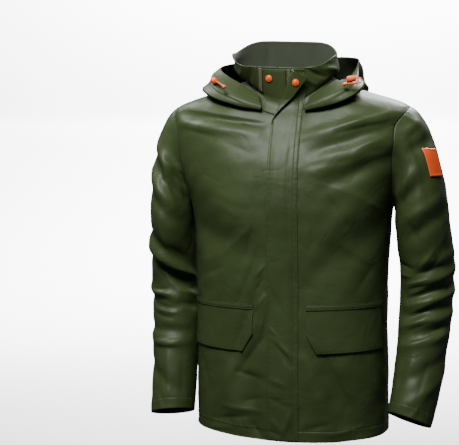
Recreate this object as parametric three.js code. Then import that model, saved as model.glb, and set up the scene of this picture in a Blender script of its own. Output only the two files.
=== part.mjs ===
// A hooded raincoat, filled out as if worn but empty inside, with its storm flap turned back at the throat.
// Millimetres, +Z up. The front faces -Y and the wearer's left side is +X.
// The origin is midway between the two high shoulder points, where the coat hangs from the wearer's neck.
import * as THREE from 'three';

const WALL = 1.6;            // coated cloth
const SEAM = 0.3;            // gap between two pieces where they are sewn
const LIFT = 0.3;            // gap under a piece that lies on another
const HEM_HALF = 200;        // half width across the hem
const CHEST_HALF = 209;      // half width just under the arms
const SHOULDER_HALF = 242;   // from the middle to a shoulder point
const NECK_HALF = 86;        // half width of the neck seam
const CHEST_FRONT = 152;     // how far the chest stands forward
const CHEST_BACK = 145;
const FRONT_HEM = -727;      // height of the hem at the centre front
const TAIL_HEM = -748;       // height of the hem at the centre back
const COLLAR_TOP = 51;       // height of the collar at the sides of the neck
const FRONT_SPLIT = 4;       // where the two fronts meet, under the storm flap
const FLAP = { free: -23, seam: 38, top: 17, bottom: -725, sewn: 0.5, over: 3.9, roll: 2.4 };
const PLACKET = { from: -44, to: 2.6, top: 15, bottom: -78, rise: 0.9 };
const POCKET = { band: -452, top: -462.5, edge: -512, bottom: -550 };

// Trunk sections from the hem up: hem 0, underarm 4, shoulder point 7, neck seam 10.
const TRUNK = [
  { wide: HEM_HALF, front: 140, back: 140, zFront: FRONT_HEM, zSide: -718, zBack: TAIL_HEM, square: 2.4, skew: -6 },
  { wide: 199, front: 143, back: 138, zFront: -600, zSide: -592, zBack: -606, square: 2.4, skew: -3 },
  { wide: 197, front: 142, back: 132, zFront: -470, zSide: -466, zBack: -474, square: 2.4, skew: 0 },
  { wide: 201, front: 146, back: 136, zFront: -350, zSide: -347, zBack: -350, square: 2.4, skew: 0 },
  { wide: CHEST_HALF, front: CHEST_FRONT, back: CHEST_BACK, zFront: -262, zSide: -262, zBack: -250, square: 2.4, skew: 0 },
  { wide: 238, front: 146, back: 140, zFront: -195, zSide: -165, zBack: -165, square: 2.4, skew: 0 },
  { wide: 250, front: 132, back: 128, zFront: -150, zSide: -98, zBack: -105, square: 2.4, skew: 0 },
  { wide: SHOULDER_HALF, front: 112, back: 110, zFront: -112, zSide: -57, zBack: -62, square: 2.4, skew: 0 },
  { wide: 168, front: 100, back: 92, zFront: -88, zSide: -30, zBack: -32, square: 2.4, skew: 0 },
  { wide: 98, front: 89, back: 80, zFront: -70, zSide: -11, zBack: -16, square: 2.2, skew: 0 },
  { wide: NECK_HALF, front: 80, back: 73, zFront: -54, zSide: 2, zBack: -3, square: 2.1, skew: 0 },
];
const UNDERARM = 4;
const SHOULDER = 7;
const NECK = 10;
const ARMHOLE = { left: 80, right: 60, back: 72 };   // how far the armholes reach to the front and the back
const COLLAR = { wide: 109, front: 93, back: 88, zFront: 20, zSide: COLLAR_TOP, zBack: 83, square: 2.2, skew: -3, shift: -18, steep: 7 };
const COLLAR_BELLY = { left: 8, right: 22 };   // how far its sides swell out, a third of the way up

// Folds of the trunk seen from the front: the two ends of a crest or, where high is negative, of a trough.
const TRUNK_FOLDS = [
  { face: 1, x0: 225, z0: -75, x1: 40, z1: -120, half: 13, high: 5.5 },
  { face: 1, x0: 222, z0: -96, x1: 60, z1: -150, half: 12, high: -5.5 },
  { face: 1, x0: 214, z0: -132, x1: 70, z1: -185, half: 15, high: 6 },
  { face: 1, x0: 212, z0: -162, x1: 90, z1: -217, half: 15, high: -7 },
  { face: 1, x0: -215, z0: -72, x1: -40, z1: -94, half: 11, high: -5.5 },
  { face: 1, x0: -215, z0: -92, x1: -50, z1: -116, half: 11, high: 4.5 },
  { face: 1, x0: -60, z0: -290, x1: -185, z1: -195, half: 30, high: 6 },
  { face: 1, x0: -70, z0: -340, x1: -190, z1: -300, half: 26, high: -5 },
  { face: 1, x0: 190, z0: -300, x1: 60, z1: -400, half: 28, high: -6 },
  { face: 1, x0: 175, z0: -240, x1: 90, z1: -310, half: 24, high: 5 },
  { face: 1, x0: 80, z0: -562, x1: 150, z1: -712, half: 17, high: -7 },
  { face: 1, x0: 52, z0: -562, x1: 108, z1: -722, half: 17, high: 5 },
  { face: 1, x0: -30, z0: -440, x1: -70, z1: -545, half: 12, high: 5 },
  { face: 1, x0: -45, z0: -425, x1: -98, z1: -560, half: 11, high: -4.5 },
  { face: 1, x0: -110, z0: -575, x1: -85, z1: -722, half: 20, high: 5 },
  { face: 1, x0: -60, z0: -600, x1: -45, z1: -722, half: 14, high: -4 },
  { face: -1, x0: 88, z0: -140, x1: 84, z1: -655, half: 15, high: -8 },
  { face: -1, x0: 55, z0: -190, x1: 58, z1: -700, half: 15, high: 5 },
  { face: -1, x0: 118, z0: -230, x1: 112, z1: -600, half: 13, high: 5 },
  { face: -1, x0: 138, z0: -290, x1: 134, z1: -570, half: 12, high: -5 },
  { face: -1, x0: 100, z0: -118, x1: 166, z1: -238, half: 9, high: -6 },
  { face: -1, x0: 122, z0: -112, x1: 180, z1: -215, half: 11, high: 5 },
  { face: -1, x0: -58, z0: -240, x1: -60, z1: -430, half: 19, high: -5 },
  { face: -1, x0: -30, z0: -330, x1: -34, z1: -560, half: 16, high: 4 },
  { face: -1, x0: -96, z0: -130, x1: -160, z1: -240, half: 11, high: -6 },
  { face: -1, x0: -118, z0: -118, x1: -180, z1: -225, half: 12, high: 5 },
  { face: -1, x0: -118, z0: -300, x1: -122, z1: -640, half: 17, high: -6 },
  { face: -1, x0: -90, z0: -420, x1: -92, z1: -690, half: 15, high: 4.5 },
];

// Sleeve sections from the biceps to the cuff, and folds as ends (around in degrees, height):
// 0 faces the trunk, 90 the front, 180 outwards, 270 the back.
const SLEEVES = {
  left: {
    side: 1,
    rings: [
      { x: 268, y: 8, z: -292, across: 56, deep: 72, slant: 0 },
      { x: 275, y: 26, z: -372, across: 56, deep: 66, slant: 0 },
      { x: 276, y: 32, z: -430, across: 56, deep: 62, slant: 0 },
      { x: 273, y: 21, z: -500, across: 54, deep: 58, slant: 0 },
      { x: 266, y: 0, z: -578, across: 51, deep: 54, slant: 0.02 },
      { x: 257, y: -26, z: -650, across: 47, deep: 50, slant: 0.06 },
      { x: 249, y: -41, z: -694, across: 44, deep: 47, slant: 0.12 },
    ],
    folds: [
      { a0: 100, z0: -120, a1: 152, z1: -93, half: 9, high: 5 },
      { a0: 98, z0: -150, a1: 160, z1: -122, half: 11, high: -6 },
      { a0: 112, z0: -178, a1: 45, z1: -232, half: 12, high: 5 },
      { a0: 110, z0: -210, a1: 40, z1: -262, half: 11, high: -5 },
      { a0: 150, z0: -238, a1: 50, z1: -292, half: 12, high: 4.5 },
      { a0: 170, z0: -262, a1: 60, z1: -325, half: 12, high: -4.5 },
      { a0: 195, z0: -350, a1: 70, z1: -378, half: 13, high: 4 },
      { a0: 190, z0: -381, a1: 55, z1: -425, half: 11, high: 6 },
      { a0: 188, z0: -409, a1: 55, z1: -448, half: 9, high: -6.5 },
      { a0: 185, z0: -432, a1: 50, z1: -462, half: 9, high: 5.5 },
      { a0: 182, z0: -455, a1: 40, z1: -484, half: 9, high: -5.5 },
      { a0: 176, z0: -478, a1: 35, z1: -505, half: 9, high: 4.5 },
      { a0: 170, z0: -500, a1: 35, z1: -526, half: 9, high: -4.5 },
      { a0: 165, z0: -520, a1: 35, z1: -548, half: 10, high: 4 },
      { a0: 185, z0: -560, a1: 60, z1: -610, half: 14, high: -4 },
      { a0: 185, z0: -600, a1: 70, z1: -660, half: 14, high: 4 },
      { a0: 215, z0: -180, a1: 320, z1: -262, half: 12, high: -6 },
      { a0: 208, z0: -215, a1: 315, z1: -300, half: 13, high: 5 },
      { a0: 210, z0: -390, a1: 325, z1: -440, half: 12, high: -5 },
      { a0: 210, z0: -425, a1: 330, z1: -468, half: 12, high: 5 },
      { a0: 215, z0: -470, a1: 325, z1: -520, half: 13, high: -4 },
    ],
  },
  right: {
    side: -1,
    rings: [
      { x: -259, y: 4, z: -292, across: 46, deep: 78, slant: 0 },
      { x: -261, y: 22, z: -372, across: 49, deep: 70, slant: 0 },
      { x: -262, y: 26, z: -430, across: 50, deep: 62, slant: 0 },
      { x: -255, y: 12, z: -500, across: 50, deep: 58, slant: 0 },
      { x: -253, y: -8, z: -580, across: 48, deep: 54, slant: 0.02 },
      { x: -251, y: -30, z: -655, across: 46, deep: 50, slant: 0.04 },
      { x: -250, y: -42, z: -695, across: 45, deep: 48, slant: 0.1 },
    ],
    folds: [
      { a0: 160, z0: -120, a1: 45, z1: -215, half: 11, high: 5 },
      { a0: 165, z0: -150, a1: 40, z1: -245, half: 11, high: -5.5 },
      { a0: 168, z0: -178, a1: 48, z1: -275, half: 12, high: 5 },
      { a0: 170, z0: -215, a1: 50, z1: -300, half: 12, high: -4.5 },
      { a0: 178, z0: -298, a1: 40, z1: -385, half: 12, high: -5 },
      { a0: 178, z0: -325, a1: 18, z1: -414, half: 12, high: 7 },
      { a0: 178, z0: -352, a1: 20, z1: -440, half: 11, high: -6.5 },
      { a0: 172, z0: -436, a1: 70, z1: -454, half: 9, high: 5 },
      { a0: 172, z0: -456, a1: 70, z1: -474, half: 9, high: -5 },
      { a0: 60, z0: -440, a1: 15, z1: -452, half: 8, high: 4.5 },
      { a0: 60, z0: -466, a1: 15, z1: -476, half: 7, high: -4.5 },
      { a0: 168, z0: -516, a1: 40, z1: -524, half: 10, high: -4.5 },
      { a0: 168, z0: -538, a1: 40, z1: -548, half: 10, high: 4.5 },
      { a0: 170, z0: -590, a1: 60, z1: -640, half: 14, high: -3.5 },
      { a0: 215, z0: -180, a1: 320, z1: -262, half: 12, high: -6 },
      { a0: 208, z0: -215, a1: 315, z1: -300, half: 13, high: 5 },
      { a0: 205, z0: -385, a1: 320, z1: -430, half: 12, high: 5 },
      { a0: 205, z0: -412, a1: 325, z1: -458, half: 12, high: -5 },
      { a0: 210, z0: -455, a1: 325, z1: -505, half: 13, high: 4 },
    ],
  },
};

// Stations of the hood from its left front end round the back: where the bag folds (a trunk section),
// how full the fold is, and where the rim stands out from the neck seam.
const HOOD = [
  { turn: 33, low: 25, fold: 8.45, full: 4, out: 10, z: -38 },
  { turn: 44, low: 41, fold: 8.1, full: 8, out: 17, z: -25 },
  { turn: 60, low: 60, fold: 8.0, full: 11, out: 27, z: -9 },
  { turn: 77, low: 78, fold: 8.3, full: 10, out: 41, z: 4 },
  { turn: 94, low: 95, fold: 8.55, full: 9, out: 50, z: 35 },
  { turn: 116, low: 116, fold: 8.0, full: 12, out: 46, z: 46 },
  { turn: 146, low: 146, fold: 6.5, full: 14, out: 42, z: 50 },
  { turn: 180, low: 180, fold: 5.75, full: 15, out: 37, z: 48 },
  { turn: 214, low: 214, fold: 6.1, full: 15, out: 46, z: 45 },
  { turn: 244, low: 244, fold: 7.2, full: 14, out: 60, z: 38 },
  { turn: 266, low: 265, fold: 7.86, full: 11, out: 72, z: 26 },
  { turn: 284, low: 283, fold: 7.9, full: 10, out: 50, z: 7 },
  { turn: 301, low: 300, fold: 7.84, full: 9.5, out: 31, z: -9 },
  { turn: 313, low: 317, fold: 8.05, full: 7, out: 17, z: -25 },
  { turn: 325, low: 333, fold: 8.45, full: 4, out: 10, z: -38 },
];

const material = (color, roughness) => new THREE.MeshStandardMaterial({ color, roughness, metalness: 0 });
const CLOTH = 0x3c4b2a;
const ORANGE = 0xe8702a;

const mix = (a, b, t) => a + (b - a) * t;
const ease = (t) => {
  const c = Math.min(Math.max(t, 0), 1);
  return c * c * (3 - 2 * c);
};
const radians = (degrees) => degrees * Math.PI / 180;

// A smooth curve through one column of a table, read at a fractional row.
function spline(table, key, at) {
  const last = table.length - 1;
  const i = Math.min(Math.max(Math.floor(at), 0), last - 1);
  const t = at - i;
  const value = (k) => {
    if (k < 0) return 2 * table[0][key] - table[1][key];
    if (k > last) return 2 * table[last][key] - table[last - 1][key];
    return table[k][key];
  };
  const [a, b, c, d] = [value(i - 1), value(i), value(i + 1), value(i + 2)];
  return 0.5 * (2 * b + (c - a) * t + (2 * a - 5 * b + 4 * c - d) * t * t + (3 * b - a - 3 * c + d) * t ** 3);
}

function rowOf(table, at) {
  const row = {};
  for (const key of Object.keys(table[0])) row[key] = spline(table, key, at);
  return row;
}

// A rounded box section; turn 0 is the front, a quarter turn is the wearer's left.
function ringPoint(ring, turn) {
  const s = Math.sin(turn);
  const c = Math.cos(turn);
  const depth = c > 0 ? ring.front : ring.back;
  const reach = (Math.abs(s / ring.wide) ** ring.square + Math.abs(c / depth) ** ring.square) ** (-1 / ring.square);
  const end = c > 0 ? ring.zFront : ring.zBack;
  const toEnd = 1 - Math.abs(s) ** (ring.steep ?? 2);
  return new THREE.Vector3((ring.shift ?? 0) + reach * s, -reach * c, ring.zSide + (end - ring.zSide) * toEnd + ring.skew * s);
}

function turnAtX(ring, x) {
  const share = Math.min(Math.abs(x) / ring.wide, 1);
  return Math.sign(x) * Math.atan2(Math.abs(x), ring.front * (1 - share ** ring.square) ** (1 / ring.square));
}

function turnAtY(ring, y, face) {
  const depth = face > 0 ? ring.front : ring.back;
  const side = Math.atan2(ring.wide * (1 - (y / depth) ** ring.square) ** (1 / ring.square), y);
  return face > 0 ? side : Math.PI - side;
}

// Height of the folds at a place: each falls off beside its line and thins out towards its ends.
function foldHeight(folds, u, v, [u0, v0, u1, v1], stretch) {
  let height = 0;
  for (const fold of folds) {
    const du = (fold[u1] - fold[u0]) * stretch;
    const dv = fold[v1] - fold[v0];
    const pu = (u - fold[u0]) * stretch;
    const pv = v - fold[v0];
    const along = Math.min(Math.max((pu * du + pv * dv) / (du * du + dv * dv), 0), 1);
    const off = Math.hypot(pu - along * du, pv - along * dv) / fold.half;
    height += fold.high * Math.exp(-off * off) * Math.sin(Math.PI * (0.14 + 0.72 * along));
  }
  return height;
}

function normalOf(surface, u, v, step) {
  const du = surface(u + step, v).sub(surface(u - step, v));
  const dv = surface(u, v + step).sub(surface(u, v - step));
  return du.cross(dv).normalize();
}

const plainTrunk = (turn, row) => ringPoint(rowOf(TRUNK, row), turn);
const FRONT_FOLDS = TRUNK_FOLDS.filter((fold) => fold.face > 0);
const BACK_FOLDS = TRUNK_FOLDS.filter((fold) => fold.face < 0);

function trunk(turn, row) {
  const point = plainTrunk(turn, row);
  const c = Math.cos(turn);
  const folds = c > 0 ? FRONT_FOLDS : BACK_FOLDS;
  const height = foldHeight(folds, point.x, point.z, ['x0', 'z0', 'x1', 'z1'], 1) * ease(Math.abs(c) / 0.32);
  return point.addScaledVector(normalOf(plainTrunk, turn, row, 1e-3), height);
}
const trunkNormal = (turn, row) => normalOf(trunk, turn, row, 2e-3);

// One closed wall from a grid of outer and inner points; looped grids close on themselves.
function wall(name, paint, rows, columns, at, looped = false) {
  const points = [];
  const pairs = [];
  for (let i = 0; i < rows; i++) for (let j = 0; j < columns; j++) pairs.push(at(i, j));
  for (const layer of [0, 1]) for (const pair of pairs) points.push(...pair[layer].toArray());
  const id = (layer, i, j) => (layer * rows + i) * columns + (j % columns);
  const faces = [];
  const quad = (a, b, c, d) => faces.push(a, b, c, a, c, d);
  const spans = looped ? columns : columns - 1;
  for (let j = 0; j < spans; j++) {
    for (let i = 0; i < rows - 1; i++) {
      quad(id(0, i, j), id(0, i, j + 1), id(0, i + 1, j + 1), id(0, i + 1, j));
      quad(id(1, i, j), id(1, i + 1, j), id(1, i + 1, j + 1), id(1, i, j + 1));
    }
    quad(id(0, 0, j), id(1, 0, j), id(1, 0, j + 1), id(0, 0, j + 1));
    quad(id(0, rows - 1, j), id(0, rows - 1, j + 1), id(1, rows - 1, j + 1), id(1, rows - 1, j));
  }
  for (let i = 0; !looped && i < rows - 1; i++) {
    quad(id(0, i, 0), id(0, i + 1, 0), id(1, i + 1, 0), id(1, i, 0));
    quad(id(0, i, spans), id(1, i, spans), id(1, i + 1, spans), id(0, i + 1, spans));
  }
  return solid(name, paint, points, faces);
}

// A mesh whose faces all look outwards.
function solid(name, paint, points, faces) {
  const corner = (k) => new THREE.Vector3().fromArray(points, 3 * k);
  let volume = 0;
  for (let k = 0; k < faces.length; k += 3) {
    volume += corner(faces[k]).dot(corner(faces[k + 1]).cross(corner(faces[k + 2])));
  }
  if (volume < 0) for (let k = 0; k < faces.length; k += 3) [faces[k], faces[k + 1]] = [faces[k + 1], faces[k]];
  const geometry = new THREE.BufferGeometry();
  geometry.setAttribute('position', new THREE.Float32BufferAttribute(points, 3));
  geometry.setIndex(faces);
  geometry.computeVertexNormals();
  const mesh = new THREE.Mesh(geometry, paint);
  mesh.name = name;
  group.add(mesh);
  return mesh;
}

const group = new THREE.Group();
const under = (point, normal, depth = WALL) => point.clone().addScaledVector(normal, -depth);

// Levels shared by the three trunk panels, given on the centre front up to the underarm;
// hole says how wide the armhole is open there.
const BELOW = [
  FRONT_HEM, -702, -678, -652, -626, -600, -575, POCKET.bottom, -531, POCKET.edge, -487, POCKET.top, POCKET.band,
  -430, -405, -380, -355, -331, -308, -285,
];
const ARMHOLE_STEPS = 10;
const ABOVE_STEPS = 5;
const LEVELS = BELOW.map((level) => ({ row: sectionAtLevel(level).row, hole: 0 }));
for (let i = 0; i <= ARMHOLE_STEPS; i++) {
  const t = i / ARMHOLE_STEPS;
  LEVELS.push({ row: mix(UNDERARM, SHOULDER, (1 - Math.cos(Math.PI * t)) / 2), hole: Math.sin(Math.PI * t) });
}
for (let i = 1; i <= ABOVE_STEPS; i++) LEVELS.push({ row: mix(SHOULDER, NECK, i / ABOVE_STEPS), hole: 0 });

const frontReach = (side) => (side > 0 ? ARMHOLE.left : ARMHOLE.right);
const frontEdge = (side, ring, hole) => turnAtY(ring, Math.max(frontReach(side) * hole, SEAM / 2), 1);
const backEdge = (ring, hole) => turnAtY(ring, Math.max(ARMHOLE.back * hole, SEAM / 2), -1);

// Columns of a front panel: three at fixed distances from the middle, then shares of the way to the side.
const NEAR_COLUMNS = [FRONT_SPLIT, 22, FLAP.seam];
const FAR_COLUMNS = [0.078, 0.19, 0.307, 0.435, 0.561, 0.689, 0.8115, 0.906, 1];
const FRONT_COLUMNS = NEAR_COLUMNS.length + FAR_COLUMNS.length;
const POCKET_COLUMNS = [3, 4, 5, 6, 7, 8, 9];
function frontVertex(side, i, j) {
  const { row, hole } = LEVELS[i];
  const ring = rowOf(TRUNK, row);
  let turn = turnAtX(ring, j ? side * NEAR_COLUMNS[Math.min(j, 2)] : FRONT_SPLIT + side * SEAM / 2);
  if (j > 2) turn = mix(turn, side * frontEdge(side, ring, hole), FAR_COLUMNS[j - NEAR_COLUMNS.length]);
  return { point: trunk(turn, row), normal: trunkNormal(turn, row) };
}
for (const [word, side] of [['left', 1], ['right', -1]]) {
  wall(`front_${word}`, material(CLOTH, 0.45), LEVELS.length, FRONT_COLUMNS, (i, j) => {
    const { point, normal } = frontVertex(side, i, j);
    return [point, under(point, normal)];
  });
}
const BACK_COLUMNS = 20;
wall('back', material(CLOTH, 0.45), LEVELS.length, BACK_COLUMNS, (i, j) => {
  const { row, hole } = LEVELS[i];
  const edge = backEdge(rowOf(TRUNK, row), hole);
  const turn = mix(edge, 2 * Math.PI - edge, j / (BACK_COLUMNS - 1));
  const point = trunk(turn, row);
  return [point, under(point, trunkNormal(turn, row))];
});

// The armhole line; t runs 0 to 1 from the underarm up the front and 1 to 2 down the back.
function armhole(side, t) {
  const row = mix(UNDERARM, SHOULDER, (1 - Math.cos(Math.PI * t)) / 2);
  const ring = rowOf(TRUNK, row);
  const hole = Math.sin(Math.PI * t);
  const turn = side * (hole >= 0 ? turnAtY(ring, frontReach(side) * hole, 1) : turnAtY(ring, -ARMHOLE.back * hole, -1));
  return { point: trunk(turn, row), normal: trunkNormal(turn, row) };
}

// Unit direction over the cloth from the armhole line into the hole.
function intoHole(side, t) {
  const { point, normal } = armhole(side, t);
  const across = armhole(side, t + 2e-3).point.sub(armhole(side, t - 2e-3).point).cross(normal).normalize();
  const middle = trunk(side * Math.PI / 2, (UNDERARM + SHOULDER) / 2);
  return across.dot(middle.sub(point)) < 0 ? across.negate() : across;
}

// A point of a sleeve section; around is a share of the full ring, along counts sections from 1.
function sleeveRing(sleeve, around, along) {
  const ring = rowOf(sleeve.rings, along - 1);
  const ahead = rowOf(sleeve.rings, along - 0.95);
  const lean = [(ahead.x - ring.x) / (ahead.z - ring.z), (ahead.y - ring.y) / (ahead.z - ring.z)];
  const x = -sleeve.side * Math.cos(2 * Math.PI * around) * ring.across;
  const y = -Math.sin(2 * Math.PI * around) * ring.deep;
  const z = ring.z - lean[0] * x - lean[1] * y - ring.slant * sleeve.side * x;
  return new THREE.Vector3(ring.x + x, ring.y + y, z);
}

const capStart = new Map();
function sleeveStart(sleeve, around) {
  const key = `${sleeve.side} ${around}`;
  if (!capStart.has(key)) {
    const t = 2 * around;
    const { point, normal } = armhole(sleeve.side, t);
    const into = intoHole(sleeve.side, t);
    const start = point.clone().addScaledVector(into, SEAM);
    const first = sleeveRing(sleeve, around, 1);
    const leave = into.clone().add(new THREE.Vector3(1.2 * sleeve.side, 0, 0)).normalize();
    const arrive = sleeveRing(sleeve, around, 1.02).sub(first).normalize();
    capStart.set(key, { start, normal, first, leave, arrive, span: start.distanceTo(first) });
  }
  return capStart.get(key);
}

function plainSleeve(sleeve, around, along) {
  if (along >= 1) return sleeveRing(sleeve, around, along);
  const { start, first, leave, arrive, span } = sleeveStart(sleeve, around);
  const [t, t2, t3] = [along, along ** 2, along ** 3];
  return new THREE.Vector3()
    .addScaledVector(start, 2 * t3 - 3 * t2 + 1)
    .addScaledVector(leave, (t3 - 2 * t2 + t) * span * 0.62)
    .addScaledVector(first, 3 * t2 - 2 * t3)
    .addScaledVector(arrive, (t3 - t2) * span * 0.9);
}

const sleeveOut = (sleeve, surface, around, along) => normalOf(surface, around, along, 4e-3).multiplyScalar(-sleeve.side);

function sleevePoint(sleeve, around, along) {
  const plain = (a, s) => plainSleeve(sleeve, a, s);
  const point = plain(around, along);
  const share = ((around % 1) + 1) % 1;
  const columns = ['a0', 'z0', 'a1', 'z1'];
  const height = foldHeight(sleeve.folds, 360 * share, point.z, columns, 0.95) * ease((along - 0.06) / 0.3);
  return point.addScaledVector(sleeveOut(sleeve, plain, around, along), height);
}

const SLEEVE_AROUND = 2 * ARMHOLE_STEPS;
const CAP_ROWS = [0, 0.09, 0.18, 0.28, 0.37, 0.455, 0.56, 0.665, 0.78, 0.89, 1];
const ARM_STEPS = 20;
function sleevePiece(name, sleeve) {
  wall(name, material(CLOTH, 0.45), CAP_ROWS.length + ARM_STEPS, SLEEVE_AROUND, (i, j) => {
    const { point, normal } = sleeveVertex(sleeve, i, j);
    return [point, under(point, i ? normal : sleeveStart(sleeve, j / SLEEVE_AROUND).normal)];
  }, true);
}
function sleeveVertex(sleeve, i, j) {
  const around = j / SLEEVE_AROUND;
  const along = i < CAP_ROWS.length ? CAP_ROWS[i] : 1 + 6 * (i - CAP_ROWS.length + 1) / ARM_STEPS;
  const skin = (a, s) => sleevePoint(sleeve, a, s);
  return { point: skin(around, along), normal: sleeveOut(sleeve, skin, around, along) };
}
sleevePiece('sleeve_left', SLEEVES.left);
sleevePiece('sleeve_right', SLEEVES.right);

// The standing collar leans out from the neck seam to its top edge.
function collar(turn, up) {
  const foot = ringPoint(TRUNK[NECK], turn);
  foot.z += 0.5;
  const point = foot.lerp(ringPoint(COLLAR, turn), up);
  const s = Math.sin(turn);
  const belly = (s > 0 ? COLLAR_BELLY.left : COLLAR_BELLY.right) * s ** 4 * 6.75 * up * (1 - up) ** 2;
  point.x += Math.sign(s) * belly;
  return point;
}
const neckTurn = (ring, share) => mix(turnAtX(ring, FLAP.seam), Math.PI / 2, share);
const HALF_COLLAR = [NEAR_COLUMNS[1], NEAR_COLUMNS[2]].map((x) => turnAtX(TRUNK[NECK], x));
for (const share of FAR_COLUMNS) HALF_COLLAR.push(neckTurn(TRUNK[NECK], share));
for (let k = 2; k < BACK_COLUMNS / 2; k++) HALF_COLLAR.push(Math.PI / 2 * (1 + 2 * (k - 1) / (BACK_COLUMNS - 1)));
const COLLAR_TURNS = [
  turnAtX(TRUNK[NECK], FRONT_SPLIT + 0.5),
  ...HALF_COLLAR,
  ...HALF_COLLAR.map((turn) => 2 * Math.PI - turn).reverse(),
  2 * Math.PI + turnAtX(TRUNK[NECK], FRONT_SPLIT - 0.5),
];
wall('collar', material(CLOTH, 0.45), 5, COLLAR_TURNS.length, (i, j) => {
  const up = i / 4;
  const turn = COLLAR_TURNS[j];
  const point = collar(turn, up);
  return [point, under(point, i ? normalOf(collar, turn, up, 2e-3) : trunkNormal(turn, NECK))];
});

// The strip of coat along the centre front: x across, level is the height on the centre line.
function sectionAtLevel(level) {
  if (level > TRUNK[NECK].zFront) return { up: (level - TRUNK[NECK].zFront) / (COLLAR.zFront - TRUNK[NECK].zFront) };
  let [low, high] = [0, NECK];
  for (let k = 0; k < 24; k++) {
    const middle = (low + high) / 2;
    if (spline(TRUNK, 'zFront', middle) < level) low = middle;
    else high = middle;
  }
  return { row: (low + high) / 2 };
}

function levelPoint(x, level) {
  const { up, row } = sectionAtLevel(level);
  if (up === undefined) return trunk(turnAtX(rowOf(TRUNK, row), x), row);
  const ring = {};
  for (const key of Object.keys(TRUNK[NECK])) ring[key] = mix(TRUNK[NECK][key], COLLAR[key], up);
  return collar(turnAtX(ring, x - COLLAR.shift * up), up);
}

function frontStrip(x, level) {
  const soft = 11 * Math.exp(-(((level - TRUNK[NECK].zFront) / 40) ** 2));
  const total = new THREE.Vector3();
  for (const shift of [-soft, -soft / 2, 0, soft / 2, soft]) total.add(levelPoint(x, level + shift));
  return total.multiplyScalar(1 / 5);
}
const stripNormal = (x, level) => normalOf(frontStrip, x, level, 0.5);

// A flat piece lying on the strip, between two heights above it.
function stripPiece(name, paint, box, steps, low, thick) {
  wall(name, paint, steps[1] + 1, steps[0] + 1, (i, j) => {
    const x = mix(box.from, box.to, j / steps[0]);
    const level = mix(box.bottom, box.top, i / steps[1]);
    const point = frontStrip(x, level);
    const normal = stripNormal(x, level);
    return [under(point, normal, -low - thick), under(point, normal, -low)];
  });
}
stripPiece('under_placket', material(CLOTH, 0.5), PLACKET, [5, 14], PLACKET.rise, WALL);
stripPiece('zip_right', material(0x6b6a5c, 0.5), { from: -53, to: -46, top: 17, bottom: -40 }, [2, 8], 0.6, 1.2);
stripPiece('zip_left', material(0x6b6a5c, 0.5), { from: 5, to: 12, top: 16, bottom: -40 }, [2, 8], 0.6, 1.2);

// The storm flap: its seamed side lies close, the rest passes over the placket,
// and its top corner rolls back over a slanting fold line.
const FOLD_LINE = { x0: FLAP.free, z0: -108, x1: 20.4, z1: 20 };
const flapRise = (x) => mix(FLAP.over, FLAP.sewn, ease((x - 15) / 20));
function flapPoint(x, level, depth) {
  const along = new THREE.Vector2(FOLD_LINE.x1 - FOLD_LINE.x0, FOLD_LINE.z1 - FOLD_LINE.z0).normalize();
  const away = new THREE.Vector2(-along.y, along.x);
  const past = (x - FOLD_LINE.x0) * away.x + (level - FOLD_LINE.z0) * away.y;
  const middle = FLAP.roll + WALL / 2;
  const radius = FLAP.roll + WALL - depth;
  const angle = Math.min(Math.max(past / middle, 0), Math.PI);
  let slide = Math.min(past, 0);
  if (past > 0) slide = radius * Math.sin(angle) - Math.max(past - Math.PI * middle, 0);
  const flatX = x + (slide - past) * away.x;
  const flatLevel = level + (slide - past) * away.y;
  const height = past > 0 ? FLAP.roll + WALL - radius * Math.cos(angle) : depth;
  const point = frontStrip(flatX, flatLevel);
  return point.addScaledVector(stripNormal(flatX, flatLevel), flapRise(Math.min(x, flatX)) + height);
}

const FLAP_LEVELS = [];
for (const level of BELOW) FLAP_LEVELS.push(Math.max(level, FLAP.bottom));
for (let i = 0; i < 7; i++) FLAP_LEVELS.push(mix(-262, -100, i / 7));
for (let i = 0; i <= 14; i++) FLAP_LEVELS.push(mix(-100, FLAP.top, i / 14));
const FLAP_COLUMNS = [0, 0.5, 1, 1.25, 1.5, 1.75, 2, 2.5, 3];
wall('storm_flap', material(CLOTH, 0.45), FLAP_LEVELS.length, FLAP_COLUMNS.length, (i, j) => {
  const level = FLAP_LEVELS[i];
  const share = (level - FOLD_LINE.z0) / (FOLD_LINE.z1 - FOLD_LINE.z0);
  const crease = FLAP.free + Math.max(share, 0) * (FOLD_LINE.x1 - FOLD_LINE.x0);
  const folded = crease - FLAP.free;
  const start = Math.max(crease - 3.3 * (FLAP.roll + WALL / 2), FLAP.free + 0.3 * folded);
  const blend = ease(share * 6 + 0.6);
  const marks = [FLAP.free, mix(-8, start, blend), mix(18, Math.max(crease, FLAP.free + 2), blend), FLAP.seam];
  if (blend > 0) marks[1] = Math.max(marks[1], FLAP.free + 0.7);
  const k = Math.min(Math.floor(FLAP_COLUMNS[j]), 2);
  const x = mix(marks[k], marks[k + 1], FLAP_COLUMNS[j] - k);
  return [flapPoint(x, level, WALL), flapPoint(x, level, 0)];
});

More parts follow.
